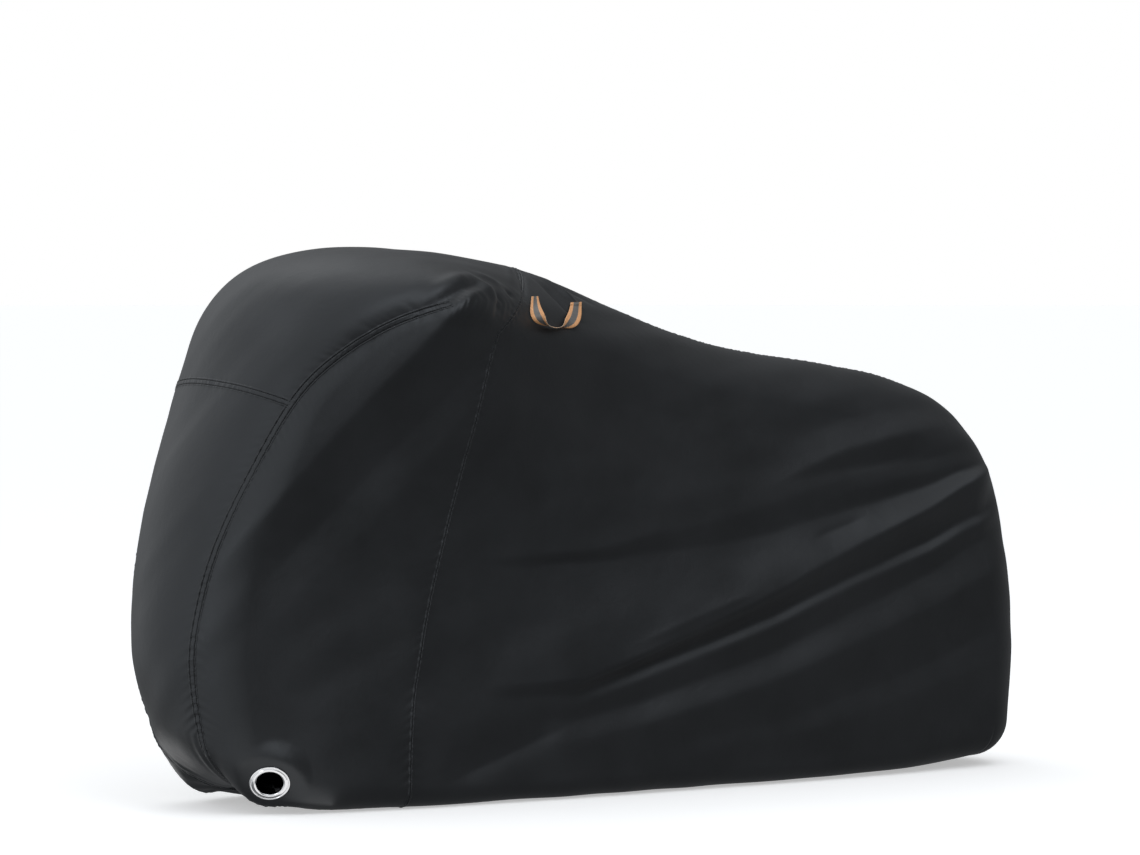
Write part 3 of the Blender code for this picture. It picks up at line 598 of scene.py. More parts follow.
def hold_flat(points, side):
    """Press the cloth onto the eyelet's plane close to the eyelet."""
    rise, radius = from_eyelet(points, side)
    reach = (FREE_AROUND_EYELET - radius) / (FREE_AROUND_EYELET - FLAT_AROUND_EYELET)
    hold = smooth_step(reach) * smooth_step((0.040 - np.abs(rise)) / 0.015)
    return points - (rise * hold)[:, None] * eyelet_frame(side)[1]


def uneven_wave(t, length, seed):
    """Irregular ripple along a seam, between about -1 and 1."""
    drift = lattice_noise(t, t * 0 + 0.37, length * 2.4, seed) * 0.8
    size = 0.62 + 0.38 * lattice_noise(t, t * 0 + 0.11, length * 1.7, seed + 1)
    return np.sin(2 * math.pi * (t / length + drift)) * size


# Puckers drawn in by each seam, and how much they grow towards the hem.
PUCKERS = {
    # ripple length, height, reach from the seam, slant, growth at the hem
    "gusset": (0.021, 0.0011, 0.022, 0.7, 2.8),
    "cross": (0.017, 0.0008, 0.012, 0.3, 1.0),
    "side": (0.024, 0.0008, 0.014, 0.6, 1.6),
    "back": (0.022, 0.0008, 0.013, 0.5, 1.6),
}


def nearest(points, targets):
    """Number of the target nearest to each point, and how far off it is."""
    tree = KDTree(len(targets))
    for k, target in enumerate(targets):
        tree.insert(target, k)
    tree.balance()
    found = [tree.find(point) for point in points]
    return np.array([number for _, number, _ in found]), np.array([away for _, _, away in found])


def seam_relief(points, seam, ripple, height, reach, slant, at_hem, seed):
    """Puckers of one seam at all points."""
    line = points[seam]
    line = evenly(line, round(chord_knots(line)[-1] / 0.001))
    low, high = line.min(0) - 4 * reach, line.max(0) + 4 * reach
    near = np.nonzero(((points > low) & (points < high)).all(1))[0]
    number, away = nearest(points[near], line)
    t = chord_knots(line)[number]
    grow = 1 + (at_hem - 1) * smooth_step((0.40 - t) / 0.26)
    wave = uneven_wave(t + slant * away, ripple, seed)
    relief = np.zeros(len(points))
    relief[near] = height * grow * np.exp(-(away / (reach * (0.7 + 0.3 * grow)))**2) * wave
    return relief


def gathered(points, normals, ids, seed):
    """Gathers of the elasticated hem, growing as the cloth turns under."""
    t = chord_knots(points[ids[CURL_STEPS // 2]])
    strength = smooth_step((np.minimum(np.arange(len(ids)), CURL_STEPS) / CURL_STEPS - 0.70) / 0.30)
    ripple = uneven_wave(t, 0.031, seed) + 0.5 * uneven_wave(t, 0.017, seed + 5)
    ends = smooth_step(np.minimum(t, t[-1] - t) / 0.02)
    points[ids.ravel()] += normals[ids.ravel()] * (HEM_GATHER * strength[:, None] * ripple * ends).ravel()[:, None]


def whole_cover():
    """Points, normals, labelled quads and seams of the folded cover, both halves."""
    half = HalfCover()
    left = np.array(half.points)
    count = len(left)
    on_spine = np.abs(left[:, 1]) < 1e-9
    right_ids = np.arange(count)
    right_ids[~on_spine] = count + np.arange((~on_spine).sum())
    right = left[~on_spine] * (1, -1, 1)
    points = np.concatenate([left, right])
    left_quads = np.concatenate(half.quads)
    quads = np.concatenate([left_quads, right_ids[left_quads][:, ::-1]])
    half_labels = np.concatenate(half.labels)
    split = np.char.startswith(half_labels, "side")
    labels = np.concatenate([np.where(split, np.char.add(half_labels, end), half_labels)
                             for end in ("_left", "_right")])
    seams = {name + end: numbers[half.seams[name]]
             for end, numbers in (("_left", np.arange(count)), ("_right", right_ids)) for name in ("gusset", "side")}
    cross = half.seams["cross"]
    seams["cross"] = np.concatenate([right_ids[cross][::-1], cross[1:]])
    seams["back"] = half.seams["back"]

    normals = vertex_normals(points, quads)
    x, y, z = points.T
    from_bar = np.hypot(x - BAR_END[0], z - BAR_END[1]) / BAR_END_RADIUS
    height = BAR_END_HEIGHT * np.exp(-from_bar**2)
    for height_of, left_rows, right_rows in ((fold_height, LEFT_FOLDS, RIGHT_FOLDS),
                                             (crease_height, LEFT_CREASES, RIGHT_CREASES),
                                             (fan_height, LEFT_FANS, RIGHT_FANS)):
        height += np.where(y < 0, height_of(x, z, left_rows), height_of(x, z, right_rows))
    height *= smooth_step((np.abs(y) - 0.06) / 0.08)
    tucks = tuck_height(points) + FAR_TUCKS * tuck_height(points * (1, -1, 1) + FAR_TUCKS_SHIFT)
    height += tucks * smooth_step((np.abs(y) - 0.015) / 0.075)
    # loose cloth between the folds
    lean = x * 0.92 + z * 0.38
    cross_lean = z * 0.92 - x * 0.38
    height += 0.0016 * lattice_noise(lean * 0.45 + y * 0.4, cross_lean + y * 0.9, 0.055, 11)
    height += 0.0022 * lattice_noise(lean * 0.6 + y * 0.5, cross_lean + y * 1.1, 0.16, 12)
    points = points + normals * height[:, None]

    gathered(points, normals, half.curl, 21)
    gathered(points, normals, right_ids[half.curl], 22)
    relief = np.zeros(len(points))
    for number, (name, seam) in enumerate(seams.items()):
        relief += seam_relief(points, seam, *PUCKERS[name.split("_")[0]], seed=40 + 3 * number)
    normals = vertex_normals(points, quads)
    points = points + normals * relief[:, None]
    for side in (1, -1):
        points = hold_flat(points, side)
    return points, vertex_normals(points, quads), quads, labels, seams


# ---------------------------------------------------------------- making pieces
def new_object(name, points, faces, materials=(), smooth=True):
    mesh = bpy.data.meshes.new(name)
    mesh.from_pydata(points, [], faces)
    if smooth:
        mesh.shade_smooth()
    for material in materials:
        mesh.materials.append(material)
    piece = bpy.data.objects.new(name, mesh)
    bpy.context.scene.collection.objects.link(piece)
    return piece


def new_piece(name, points, faces, materials):
    """Piece of the cover, from points in the floor frame."""
    faces = [[int(i) for i in face] for face in faces]
    piece = new_object(name, (np.asarray(points) - HELD_POINT).tolist(), faces, materials)
    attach(piece, "root")
    return piece


def loft(rings, size, first=0, around=True, along=False):
    """Quads between neighbouring rings of points, closed around each ring, and along the rings if wanted."""
    faces = []
    for ring in range(rings if along else rings - 1):
        here, onward = first + ring * size, first + (ring + 1) % rings * size
        for p in range(size if around else size - 1):
            q = (p + 1) % size
            faces.append([here + p, here + q, onward + q, onward + p])
    return faces


# Point attribute for the cloth's colour: positive values for rubbed wear, negative values for painted shade along the
# seams.
def add_wear_and_seam_shade(piece, values):
    wear_and_seam_shade = piece.data.attributes.new("wear_and_seam_shade", "FLOAT", "POINT")
    wear_and_seam_shade.data.foreach_set("value", np.asarray(values, np.float32))


def cut_hole(points, faces, side):
    """Clear a panel's faces round the eyelet and join what is left to a ring under its flange."""
    centre, _, first, second = eyelet_frame(side)
    rise, radius = from_eyelet(points, side)
    close = (radius < EYELET_FLANGE - 0.003) & (np.abs(rise) < 0.05)
    touched = close[faces].any(1)
    kept = faces[~touched].tolist()
    edges = {(a, b) for face in faces[touched].tolist() for a, b in zip(face, face[1:] + face[:1])}
    onward = {a: b for a, b in edges if (b, a) not in edges}
    outer = [min(onward)]
    while onward[outer[-1]] != outer[0]:
        outer.append(onward[outer[-1]])
    turns = [-math.pi + 2 * math.pi * k / EYELET_SEGMENTS for k in range(EYELET_SEGMENTS)]
    ring = [len(points) + k for k in range(EYELET_SEGMENTS)]
    points = np.vstack([points, [centre + (EYELET_BARREL + SEAM_GAP) * spoke(side, turn) for turn in turns]])
    angles = np.arctan2((points - centre) @ second, (points - centre) @ first)
    return points, kept + zip_loops(outer, ring, angles[outer].tolist(), angles[ring].tolist())


def zip_loops(outer, inner, outer_angles, inner_angles):
    """Triangles between two loops that turn the same way round one centre."""
    base, full = outer_angles[0], 2 * math.pi
    outer_turn = [(a - base) % full for a in outer_angles] + [full]
    inner_turn, inner = zip(*sorted(((a - base) % full, number) for a, number in zip(inner_angles, inner)))
    inner_turn += (full,)
    faces = []
    i = j = 0
    while i < len(outer) or j < len(inner):
        a, b = outer[i % len(outer)], inner[j % len(inner)]
        if j == len(inner) or (i < len(outer) and outer_turn[i + 1] <= inner_turn[j + 1]):
            i += 1
            faces.append([a, outer[i % len(outer)], b])
        else:
            j += 1
            faces.append([a, inner[j % len(inner)], b])
    return faces


def panel(name, points, faces, wear_and_seam_shade, material):
    used = np.unique(np.concatenate([np.ravel(face) for face in faces]))
    local = np.zeros(len(points), int)
    local[used] = np.arange(len(used))
    piece = new_piece(name + "_cloth", points[used], [[local[i] for i in face] for face in faces], [material])
    add_wear_and_seam_shade(piece, wear_and_seam_shade[used])
    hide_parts(name)
    return piece


def turned_ring(name, profile, side, material, node):
    """Profile of radius and height turned about an eyelet's middle line."""
    centre, normal, _, _ = eyelet_frame(side)
    points = []
    for k in range(EYELET_SEGMENTS):
        out = spoke(side, 2 * math.pi * k / EYELET_SEGMENTS)
        points += [centre + radius * out + height * normal for radius, height in profile]
    faces = [[a, d, c, b] for a, b, c, d in loft(EYELET_SEGMENTS, len(profile), along=True)]
    piece = new_piece(name, points, faces, [material])
    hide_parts(node)


def rounded(corners, radius, steps=4):
    """Closed profile with its corners rounded: each corner becomes an arc of a quadratic curve."""
    corners = np.array(corners)
    profile = []
    for before, here, after in zip(np.roll(corners, 1, 0), corners, np.roll(corners, -1, 0)):
        a, b = (here + unit(way) * min(radius, 0.45 * np.linalg.norm(way)) for way in (before - here, after - here))
        profile += [(1 - s)**2 * a + 2 * s * (1 - s) * here + s * s * b for s in np.linspace(0, 1, steps)]
    return profile


def eyelet_profile():
    seat = SEAM_GAP
    back = -CLOTH - 2 * SEAM_GAP - 0.0012
    return rounded((
        (EYELET_HOLE, back),
        (EYELET_BARREL, back),
        (EYELET_BARREL, seat),
        (EYELET_FLANGE, seat),
        (EYELET_FLANGE, seat + 0.0022),
        (EYELET_FLANGE - 0.0022, seat + 0.0028),
        (EYELET_FLANGE - 0.0036, seat + 0.0014),
        (EYELET_HOLE + 0.0070, seat + 0.0032),
        (EYELET_HOLE + 0.0030, seat + 0.0034),
        (EYELET_HOLE, seat + 0.0012),
    ), 0.0008)


def washer_profile():
    top = -CLOTH - SEAM_GAP
    inner = EYELET_BARREL + SEAM_GAP
    outer = EYELET_FLANGE - 0.002
    return rounded(((inner, top), (inner, top - 0.0012), (outer, top - 0.0012), (outer, top)), 0.0004)


# ---------------------------------------------------------------- seams
# Felled seams. The stitch rows lie at an offset on both sides of the middle, and 0 is one row.
FELLS = {
    # half width of the lift, its height, offset of the stitch rows, ripple between them
    "gusset": (0.0095, 0.0014, 0.0048, 0.55),
    "cross": (0.0090, 0.0013, 0.0044, 0.35),
    "side": (0.0060, 0.0012, 0.0, 0.55),
    "back": (0.0065, 0.0012, 0.0, 0.50),
}
TUCKED_BEYOND = -0.512          # the gusset's seam goes under the fold at the handlebar's end here
GROOVE = 0.0010
STITCH_LENGTH = 0.0036
STITCH_GAP = 0.0009
THREAD = 0.00062


def seam_frames(line, spacing):
    """Even points along a seam, with their forward directions."""
    curve = evenly(line, max(2, round(chord_knots(line)[-1] / spacing)))
    return curve, unit(np.gradient(curve, axis=0))


def fell_lanes(half, row_offset):
    """Distances from the middle of a seam at which its surface is worked out."""
    close = row_offset + GROOVE * np.array((0, 0.8, 1.6, 2.6))
    inside = row_offset - GROOVE * np.array((0.8, 1.6, 2.6)) if row_offset else np.array(())
    outside = np.linspace(close[-1], half, 4)[1:]
    positive = np.unique(np.concatenate([close, inside[inside > 0], outside, [row_offset * 0.2]]))
    positive = positive[positive > 1e-6]
    return np.concatenate([-positive[::-1], [0.0], positive])


def fell(name, line, line_normals, cloth, half, height, row_offset, ripple, material, seed):
    """Strip over a seam: cloth lifted by the layers under it and drawn down again along its stitch rows."""
    curve, forward = seam_frames(line, 0.0022)
    t = chord_knots(curve)
    normals = unit(sampled(line_normals, chord_knots(line), t))
    across = unit(np.cross(forward, normals))
    offsets = fell_lanes(half, row_offset)
    away = np.abs(offsets)
    lift = smooth_step((half - away) / (half - row_offset - 2.2 * GROOVE))
    groove = np.exp(-((away - row_offset) / GROOVE)**2)
    rungs = uneven_wave(t, 0.0080, seed) * 0.6 + uneven_wave(t, 0.019, seed + 3) * 0.4
    lips = uneven_wave(t, 0.011, seed + 6)
    points = []
    for k in range(len(curve)):
        for p, offset in enumerate(offsets):
            from_point = curve[k] + across[k] * offset + normals[k] * 0.02
            hit, _, _, _ = cloth.ray_cast(from_point.tolist(), (-normals[k]).tolist(), 0.04)
            base = np.array(hit) if hit is not None else curve[k] + across[k] * offset
            wave = rungs[k] if away[p] < max(row_offset, 1e-6) else lips[k] * np.sign(offset)
            rise = height * (lift[p] * (1 + ripple * wave * (1 - groove[p])) - 0.95 * groove[p]) - 0.0002
            points.append(base + normals[k] * rise)
    faces = [[b, c, d, a] for a, b, c, d in loft(len(curve), len(offsets), around=False)]
    piece = new_piece(name, points, faces, [material])
    # the raised band a little lighter, and the stitch grooves much darker, which is painted shade in the grooves
    add_wear_and_seam_shade(piece, np.tile(0.15 * lift * (1 - groove) - 0.8 * groove, len(curve)))
    return piece


def stitch_rows(seam_piece, half, row_offset):
    """Paths of the stitch rows along a sewn seam, with their forward and outward directions."""
    offsets = fell_lanes(half, row_offset)
    mesh = seam_piece.data
    grid = np.empty(len(mesh.vertices) * 3)
    mesh.vertices.foreach_get("co", grid)
    grid = grid.reshape(-1, len(offsets), 3) + HELD_POINT
    lifted = grid[:, len(offsets) // 2] - (grid[:, 0] + grid[:, -1]) / 2
    rows = []
    for wanted in sorted({-row_offset, row_offset}):
        curve = grid[:, int(np.argmin(np.abs(offsets - wanted)))]
        forward = unit(np.gradient(curve, axis=0))
        out = unit(np.cross(forward, grid[:, -1] - grid[:, 0]))
        if row_offset and (lifted * out).sum() < 0:
            out = -out
        rows.append((curve, forward, out))
    return rows


def stitches(name, rows_of_points, material, rng):
    """Rows of separate stitches, one small six-sided bead for each."""
    points, faces = [], []
    for curve, forward, normals in rows_of_points:
        t = chord_knots(curve)
        start = 0.002
        while start + STITCH_LENGTH < t[-1] - 0.002:
            length = STITCH_LENGTH * rng.uniform(0.9, 1.1)
            begin, middle, end = sampled(curve, t, (start, start + length / 2, start + length))
            k = min(int(np.searchsorted(t, start + length / 2)), len(curve) - 1)
            up, out = normals[k], np.cross(forward[k], normals[k])
            first = len(points)
            for centre, radius, lift in ((begin, 0.5, 0.0), (begin * 0.65 + middle * 0.35, 1, 0.0002),
                                         (end * 0.65 + middle * 0.35, 1, 0.0002), (end, 0.5, 0.0)):
                for corner in range(6):
                    turn = math.pi * corner / 3
                    offset = up * math.sin(turn) + out * math.cos(turn)
                    points.append(centre + up * lift + offset * THREAD * radius)
            faces += loft(4, 6, first)
            faces += [[first + c for c in range(6)][::-1], [first + 18 + c for c in range(6)]]
            start += length + STITCH_GAP
    piece = new_piece(name, points, faces, [material])
    return piece


# ---------------------------------------------------------------- materials
class Shader:
    """Small helper round the node tree of a material or world."""

    def __init__(self, owner, main="Principled BSDF"):
        self.owner = owner
        owner.use_nodes = True
        self.nodes = owner.node_tree.nodes
        self.main = self.nodes[main]

    def feed(self, node, values):
        """Set a node's inputs, or link them where the value is another node's output."""
        for key, value in values.items():
            socket = node.inputs[key.replace("_", " ") if isinstance(key, str) else key]
            if isinstance(value, bpy.types.NodeSocket):
                self.owner.node_tree.links.new(value, socket)
            else:
                socket.default_value = value

    def set(self, **values):
        self.feed(self.main, values)

    def node(self, kind, output, inputs, **settings):
        """New node, which gives back one of its outputs."""
        node = self.nodes.new("ShaderNode" + kind)
        for key, value in settings.items():
            setattr(node, key, value)
        self.feed(node, inputs)
        return node.outputs[output]

    def place(self):
        return self.node("TexCoord", "Object", {})

    def noise(self, place, scale, detail, **more):
        return self.node("TexNoise", "Fac", {"Vector": place, "Scale": scale, "Detail": detail, **more})

    def wave(self, place, scale, direction, **more):
        return self.node("TexWave", "Fac", {"Vector": place, "Scale": scale, **more}, bands_direction=direction)

    def math(self, operation, *values):
        return self.node("Math", 0, dict(enumerate(values)), operation=operation)

    def bump(self, strength, distance, height, **more):
        return self.node("Bump", "Normal", {"Strength": strength, "Distance": distance, "Height": height, **more})

    def spread(self, value, low, high, **more):
        return self.node("MapRange", "Result", {"Value": value, "To Min": low, "To Max": high, **more})

    def shades(self, value, color, darker):
        """From a darker shade of a colour to the colour itself."""
        return self.node("Mix", 2, {0: value, 6: (*[c * darker for c in color], 1), 7: (*color, 1)}, data_type="RGBA")

    def ramp(self, value, *stops):
        node = self.nodes.new("ShaderNodeValToRGB")
        self.feed(node, {"Fac": value})
        elements = node.color_ramp.elements
        elements[0].position, elements[-1].position = stops[0][0], stops[-1][0]
        for position, _ in stops[1:-1]:
            elements.new(position)
        for element, (_, color) in zip(elements, stops):
            element.color = (*color, 1)
        return node.outputs["Color"]


def new_shader(name):
    return Shader(bpy.data.materials.new(name))


def cloth_material(name, dark, light, roughness):
    """Coated taffeta: near-black, satin, with a fine plain weave and soft unevenness, lighter where worn and darkened
    by painted shade along the seams.
    """
    shader = new_shader(name)
    place = shader.place()
    # point attribute: rubbed wear lightens the colour, and painted shade along the seams darkens it to the ramp's
    # darkest stop
    wear_and_seam_shade = shader.node("Attribute", "Fac", {}, attribute_name="wear_and_seam_shade")
    clouds = shader.noise(place, 5.0, 4.0, Roughness=0.6)
    mixed = shader.math("MULTIPLY_ADD", shader.noise(place, 420.0, 2.0), 0.25, clouds)
    worn_and_seam_shaded = shader.math("MULTIPLY_ADD", wear_and_seam_shade, 0.5, mixed)
    threads = [shader.wave(place, 260.0, direction, Distortion=0.6, Detail=1.0, Detail_Scale=2.0)
               for direction in "XYZ"]
    weave = shader.math("ADD", shader.math("ADD", threads[0], threads[1]), threads[2])
    crinkle = shader.bump(0.16, 0.004, shader.noise(place, 34.0, 5.0, Roughness=0.55, Distortion=0.8))
    shader.set(
        Base_Color=shader.ramp(worn_and_seam_shaded, (0.15, (0.002, 0.002, 0.002)), (0.42, dark), (1.0, light)),
        Roughness=shader.spread(mixed, roughness - 0.05, roughness + 0.06, From_Min=0.35, From_Max=0.95),
        Normal=shader.bump(0.08, 0.0003, weave, Normal=crinkle))
    shader.set(Specular_IOR_Level=0.5, Sheen_Weight=0.06, Sheen_Roughness=0.5, Specular_Tint=(0.90, 0.95, 1.0, 1))
    return shader.owner


def thread_material():
    """Matte black sewing thread with its ply."""
    shader = new_shader("thread")
    ply = shader.wave(shader.place(), 900.0, "DIAGONAL", Distortion=1.0)
    shader.set(Base_Color=shader.ramp(ply, (0.0, (0.0008, 0.0008, 0.0008)), (1.0, (0.004, 0.004, 0.004))),
               Normal=shader.bump(0.3, 0.0002, ply))
    shader.set(Roughness=0.85, Specular_IOR_Level=0.12)
    return shader.owner


def tape_material(name, color, roughness, metallic, ribs):
    """Woven tape, with its ribs laid out along the tape."""
    shader = new_shader(name)
    flat = shader.node("UVMap", "UV", {}, uv_map="tape")
    both = shader.math("MULTIPLY", shader.wave(flat, ribs, "X"), shader.wave(flat, ribs * 0.7, "Y"))
    shader.set(Base_Color=shader.shades(both, color, 0.72), Normal=shader.bump(0.4, 0.0003, both))
    shader.set(Roughness=roughness, Metallic=metallic)
    return shader.owner


def metal_material(name, color, roughness):
    """Polished metal with smudges and hair scratches."""
    shader = new_shader(name)
    place = shader.place()
    smudge = shader.noise(place, 60.0, 4.0)
    shader.set(Base_Color=shader.shades(smudge, color, 0.85),
               Roughness=shader.spread(smudge, roughness * 0.6, roughness * 1.5),
               Normal=shader.bump(0.05, 0.0002, shader.noise(place, 900.0, 3.0)))
    shader.set(Metallic=1.0)
    return shader.owner


# ---------------------------------------------------------------- the reflective loop
UPWARD = np.array((0.0, 0.0, 1.0))


def loop_frame():
    """The loop's directions, inward as it faces and from end to end, and its middle."""
    turn, slope = math.radians(LOOP_FACING), math.radians(LOOP_SLOPE)
    sideways = np.array((math.cos(turn), -math.sin(turn), 0))
    inward = np.array((math.sin(turn), math.cos(turn), 0))
    along = sideways * math.cos(slope) + UPWARD * math.sin(slope)
    return inward, along, sideways * LOOP_CENTRE[0] + UPWARD * LOOP_CENTRE[1]


def wall_point(cloth, place):
    """The cloth straight in behind a place, as the loop faces, and the cloth's outward normal there."""
    inward, _, _ = loop_frame()
    hit, normal, _, _ = cloth.ray_cast((place - inward * (place @ inward + 1.0)).tolist(), inward.tolist())
    return np.array(hit), np.array(normal)


def tape_line(cloth, turn, across, rest):
    """One line across the tape at a turn round the loop: sewn flat to the cloth at the ends, edge on at the bottom."""
    inward, along, centre = loop_frame()
    place = centre - along * math.cos(turn) * LOOP_SPAN / 2 - UPWARD * math.sin(turn)**LOOP_SQUARED * LOOP_DEPTH
    wall, outward = wall_point(cloth, place)
    heading = along * math.sin(turn) * LOOP_SPAN / 2 - UPWARD * math.cos(turn) * LOOP_DEPTH
    level = np.cross(heading, inward) / np.linalg.norm(heading)
    heading -= outward * (heading @ outward)
    flat = np.cross(outward, heading) / np.linalg.norm(heading)
    lying = np.array([hit + normal * rest for hit, normal in (wall_point(cloth, wall + flat * s) for s in across)])
    behind = min((hit + normal * rest) @ inward
                 for hit, normal in (wall_point(cloth, place + level * s) for s in across))
    faced = place + level * across[:, None] + inward * (behind - place @ inward)
    hang = LOOP_FACED * float(smooth_step(math.sin(turn) / 0.40))
    leg = lying * (1 - hang) + faced * hang
    stand = float(smooth_step((math.sin(turn) - 0.45) / 0.55))
    twist = stand * math.pi / 2
    width = level * math.cos(twist) - inward * math.sin(twist)
    depth = behind + ((wall + outward * rest) @ inward - behind) * math.sin(twist)
    depth -= TAPE_WIDTH / 2 * math.sin(twist) + LOOP_STAND_OFF * stand
    middle = place + inward * (depth - place @ inward)
    return leg * (1 - stand) + (middle + width * across[:, None]) * stand, rest + LOOP_LIFT * hang


def tape_lines(cloth, across):
    """Lines across the whole tape, evened out along it and moved clear of the cloth."""
    inward, _, _ = loop_frame()
    rest = TAPE_THICK / 2 + 2 * SEAM_GAP
    steps = np.arange(LOOP_STEPS + 1)
    lines, clear = zip(*(tape_line(cloth, math.pi * step / LOOP_STEPS, across, rest) for step in range(LOOP_STEPS + 1)))
    lines = np.array(lines)
    for _ in range(LOOP_EASED):
        lines[1:-1] = (lines[:-2] + 2 * lines[1:-1] + lines[2:]) / 4
    sunk = [max(0, max((point - hit) @ inward - gap / (normal @ inward)
                       for point, (hit, normal) in ((point, wall_point(cloth, point)) for point in line)))
            for line, gap in zip(lines, clear)]
    near = [max(sunk[max(step - LOOP_NEAR, 0):step + LOOP_NEAR + 1]) for step in steps]
    window = 2 * LOOP_NEAR + 1
    eased = np.convolve(np.pad(near, LOOP_NEAR, mode="edge"), np.ones(window) / window, mode="valid")
    eased *= smooth_step(np.minimum(steps, LOOP_STEPS - steps) / 6)
    return lines - inward * np.maximum(eased, sunk)[:, None, None]


def reflective_loop(cloth, orange, silver, pale):
    """Tape with a silver stripe between two orange ones, and pale cut edges."""
    across = np.linspace(-0.5, 0.5, LOOP_STRIPS + 1) * TAPE_WIDTH
    lines = tape_lines(cloth, across)
    bead = 1 - 0.55 * (np.abs(across) / (TAPE_WIDTH / 2))**8
    half = unit(np.cross(np.gradient(lines, axis=0), np.gradient(lines, axis=1))) * TAPE_THICK / 2 * bead[None, :, None]
    points = np.concatenate([lines - half, (lines + half)[:, ::-1]], axis=1).reshape(-1, 3).tolist()
    size = 2 * len(across)
    sides = loft(LOOP_STEPS + 1, size)
    faces = [list(range(size))[::-1]] + sides + [[LOOP_STEPS * size + p for p in range(size)]]
    # each side face's stripe, and its place across the tape for the weave
    lane = list(range(LOOP_STRIPS + 1)) + list(range(LOOP_STRIPS + 1))[::-1]
    stripes, uvs = [0], [(0, 0)] * size
    for number in range(len(sides)):
        step, p = divmod(number, size)
        here, onward = lane[p], lane[(p + 1) % size]
        from_middle = abs((min(here, onward) + 0.5) / LOOP_STRIPS - 0.5)
        stripes.append(2 if here == onward else 1 if from_middle < 0.20 else 0)
        u0, u1 = here / LOOP_STRIPS * TAPE_WIDTH, onward / LOOP_STRIPS * TAPE_WIDTH
        v0, v1 = step * TAPE_STEP, (step + 1) * TAPE_STEP
        uvs += [(u0, v0), (u1, v0), (u1, v1), (u0, v1)]
    piece = new_piece("reflective_loop_tape", points, faces, [orange, silver, pale])
    piece.data.polygons.foreach_set("material_index", stripes + [0])
    layer = piece.data.uv_layers.new(name="tape")
    layer.data.foreach_set("uv", np.ravel(uvs + [(0, 0)] * size))
    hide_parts("reflective_loop")
    return piece


# ---------------------------------------------------------------- build everything
points, normals, quads, labels, seams = whole_cover()
_, from_seam = nearest(points, points[np.concatenate(list(seams.values()))])
# lighter at the very bottom of the hem for rubbed wear, and darker beside every seam, which is painted shade along the
# seams
wear_and_seam_shade = 0.3 * smooth_step((0.06 - points[:, 2]) / 0.06) - 0.12 * np.exp(-(from_seam / 0.012)**2)

black = cloth_material("coated_cloth", (0.0085, 0.0087, 0.0092), (0.017, 0.0175, 0.019), 0.46)
thread = thread_material()
for label in np.unique(labels):
    faces = quads[labels == label]
    panel_points, panel_wear_and_seam_shade = points, wear_and_seam_shade
    if label.startswith("side_front"):
        panel_points, faces = cut_hole(points, faces, 1 if label.endswith("left") else -1)
        panel_wear_and_seam_shade = np.concatenate([wear_and_seam_shade, np.full(len(panel_points) - len(points), 0.3)])
    panel(str(label), panel_points, faces, panel_wear_and_seam_shade, black)

cloth = BVHTree.FromPolygons(points.tolist(), quads.tolist())
rng = np.random.default_rng(7)
fells, threads = {}, {}
for number, (name, ids) in enumerate(seams.items()):
    if name.startswith("gusset"):
        ids = ids[points[ids][:, 0] < TUCKED_BEYOND]
    half, height, offset, ripple = FELLS[name.split("_")[0]]
    fells[name] = fell("fell_" + name, points[ids], normals[ids], cloth, half, height, offset, ripple, black,
                       60 + 9 * number)
    threads[name] = stitches("stitches_" + name, stitch_rows(fells[name], half, offset), thread, rng)

orange = tape_material("orange_tape", (1.0, 0.50, 0.22), 0.5, 0.0, 700.0)
silver = tape_material("silver_stripe", (0.21, 0.20, 0.19), 0.38, 0.3, 500.0)
pale = tape_material("cut_edge", (0.80, 0.75, 0.64), 0.6, 0.0, 700.0)
loop = reflective_loop(cloth, orange, silver, pale)

nickel = metal_material("polished_nickel", (0.86, 0.86, 0.87), 0.12)
for side, word in ((1, "left"), (-1, "right")):
    turned_ring("eyelet_ring_" + word, eyelet_profile(), side, nickel, "lock_eyelet_" + word)
    turned_ring("eyelet_back_" + word, washer_profile(), side, nickel, "lock_washer_" + word)


# ---------------------------------------------------------------- stage, light and camera
def studio_piece(name, points, faces, hidden_from, smooth=False, **surface):
    """Piece of the studio, kept out of some kinds of ray."""
    shader = new_shader(name)
    shader.set(**surface)
    piece = new_object(name, points, faces, [shader.owner], smooth)
    for rays in hidden_from:
        setattr(piece, "visible_" + rays, False)


def stage():
    """White floor in the middle of a white dome, which only the camera sees."""
    rings, spokes = 10, 48
    hidden = ("diffuse", "glossy", "transmission", "shadow")
    white = (1, 1, 1, 1)
    turns = np.linspace(0, 2 * math.pi, spokes, endpoint=False)
    rim = [(STUDIO_RADIUS * math.cos(turn), STUDIO_RADIUS * math.sin(turn), FLOOR) for turn in turns]
    studio_piece("studio_floor", rim, [list(range(spokes))], hidden, Base_Color=(0.9, 0.9, 0.9, 1), Roughness=0.9,
                 Specular_IOR_Level=0.0, Emission_Color=white, Emission_Strength=FLOOR_GLOW)
    points = [(x * math.cos(rise), y * math.cos(rise), FLOOR - 0.01 + STUDIO_RADIUS * math.sin(rise))
              for rise in np.linspace(0, math.pi / 2, rings, endpoint=False) for x, y, _ in rim]
    points.append((0, 0, FLOOR + STUDIO_RADIUS))
    last = (rings - 1) * spokes
    faces = [[a, d, c, b] for a, b, c, d in loft(rings, spokes)]
    faces += [[last + k, last + spokes, last + (k + 1) % spokes] for k in range(spokes)]
    studio_piece("studio_dome", points, faces, hidden, True, Base_Color=(0, 0, 0, 1), Emission_Color=white,
                 Emission_Strength=1.0, Specular_IOR_Level=0.0)


def reflector_card(name, place, width, depth):
    """White card on the floor that only shows in reflections, for the polished eyelets."""
    x, y, z = place
    corners = [(x + a * width / 2, y + b * depth / 2, z) for a, b in ((-1, -1), (1, -1), (1, 1), (-1, 1))]
    studio_piece(name, corners, [(0, 1, 2, 3)], ("camera", "diffuse", "shadow", "transmission"),
                 Base_Color=(0, 0, 0, 1), Emission_Color=(1, 1, 1, 1), Emission_Strength=1.0)


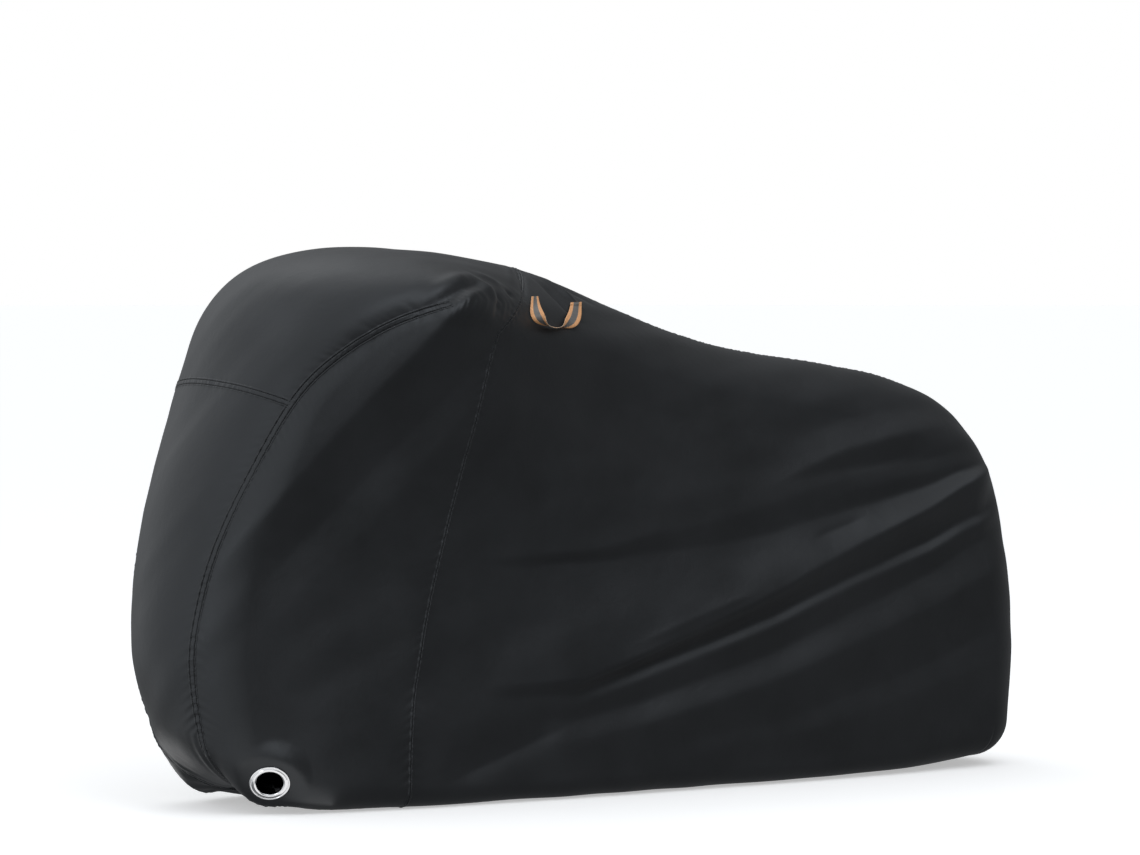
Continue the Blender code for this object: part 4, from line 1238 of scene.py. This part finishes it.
def studio_world():
    """Soft light that is brightest above the nose, and falls off to the back and the floor."""
    world = bpy.data.worlds.new("studio")
    shader = Shader(world, "Background")
    direction = shader.node("TexCoord", "Generated", {})
    toward = shader.node("VectorMath", "Value", {0: direction, 1: Vector(LIGHT_FROM).normalized()},
                         operation="DOT_PRODUCT")
    ends = dict(zip(("From Min", "From Max", "To Min", "To Max"), LIGHT_SPREAD + LIGHT_STRENGTHS))
    strength = shader.node("MapRange", "Result", {"Value": toward, **ends}, interpolation_type="SMOOTHSTEP")
    shader.set(Color=(0.94, 0.97, 1, 1), Strength=strength)
    bpy.context.scene.world = world


def area_light(name, place, target, size, power, color):
    light = bpy.data.lights.new(name, "AREA")
    light.shape = "RECTANGLE"
    light.size, light.size_y = size
    light.energy = power
    light.color = color
    lamp = bpy.data.objects.new(name, light)
    lamp.location = place
    lamp.rotation_euler = (Vector(target) - Vector(place)).to_track_quat("-Z", "Y").to_euler()
    bpy.context.scene.collection.objects.link(lamp)


def camera():
    """Camera a little above the cover's top, at its left front."""
    azimuth, drop = math.radians(VIEW_AZIMUTH), math.atan(HORIZON / FOCAL)
    back = Vector((-math.sin(azimuth) * math.cos(drop), -math.cos(azimuth) * math.cos(drop), math.sin(drop)))
    right = Vector((math.cos(azimuth), -math.sin(azimuth), 0.0))
    data = bpy.data.cameras.new("camera")
    data.sensor_width = SENSOR
    data.lens = SENSOR * FOCAL / VIEW_WIDTH
    data.clip_end = 100.0
    seen_from = bpy.data.objects.new("camera", data)
    turn = Matrix((right, back.cross(right), back)).transposed()
    seen_from.matrix_world = Matrix.Translation(VIEW_FROM) @ turn.to_4x4()
    bpy.context.scene.collection.objects.link(seen_from)
    bpy.context.scene.camera = seen_from


COOL = (0.93, 0.96, 1.0)
LIGHTS = (
    # name, place, target, size, watts, colour
    ("key_softbox", (-4.2, 1.0, 3.4), (-0.3, 0, -0.3), (1.6, 1.4), 12, COOL),
    ("front_softbox", (0.45, -4.4, 3.5), (0.45, 0, -0.5), (4.2, 4.2), 80, COOL),
    ("top_softbox", (0.2, 3.0, 4.7), (0.0, 0, -0.3), (3.0, 3.0), 22, (1, 1, 1)),
    ("low_softbox", (-4.2, -2.0, -0.6), (-0.6, 0, -0.8), (1.6, 0.7), 10, COOL),
)
stage()
for word, side in (("left", -0.32), ("right", 0.32)):
    reflector_card("card_" + word, (-0.37, side, FLOOR + 0.004), 0.30, 0.28)
for row in LIGHTS:
    area_light(*row)
camera()
studio_world()
bpy.context.scene.view_settings.view_transform = "Standard"
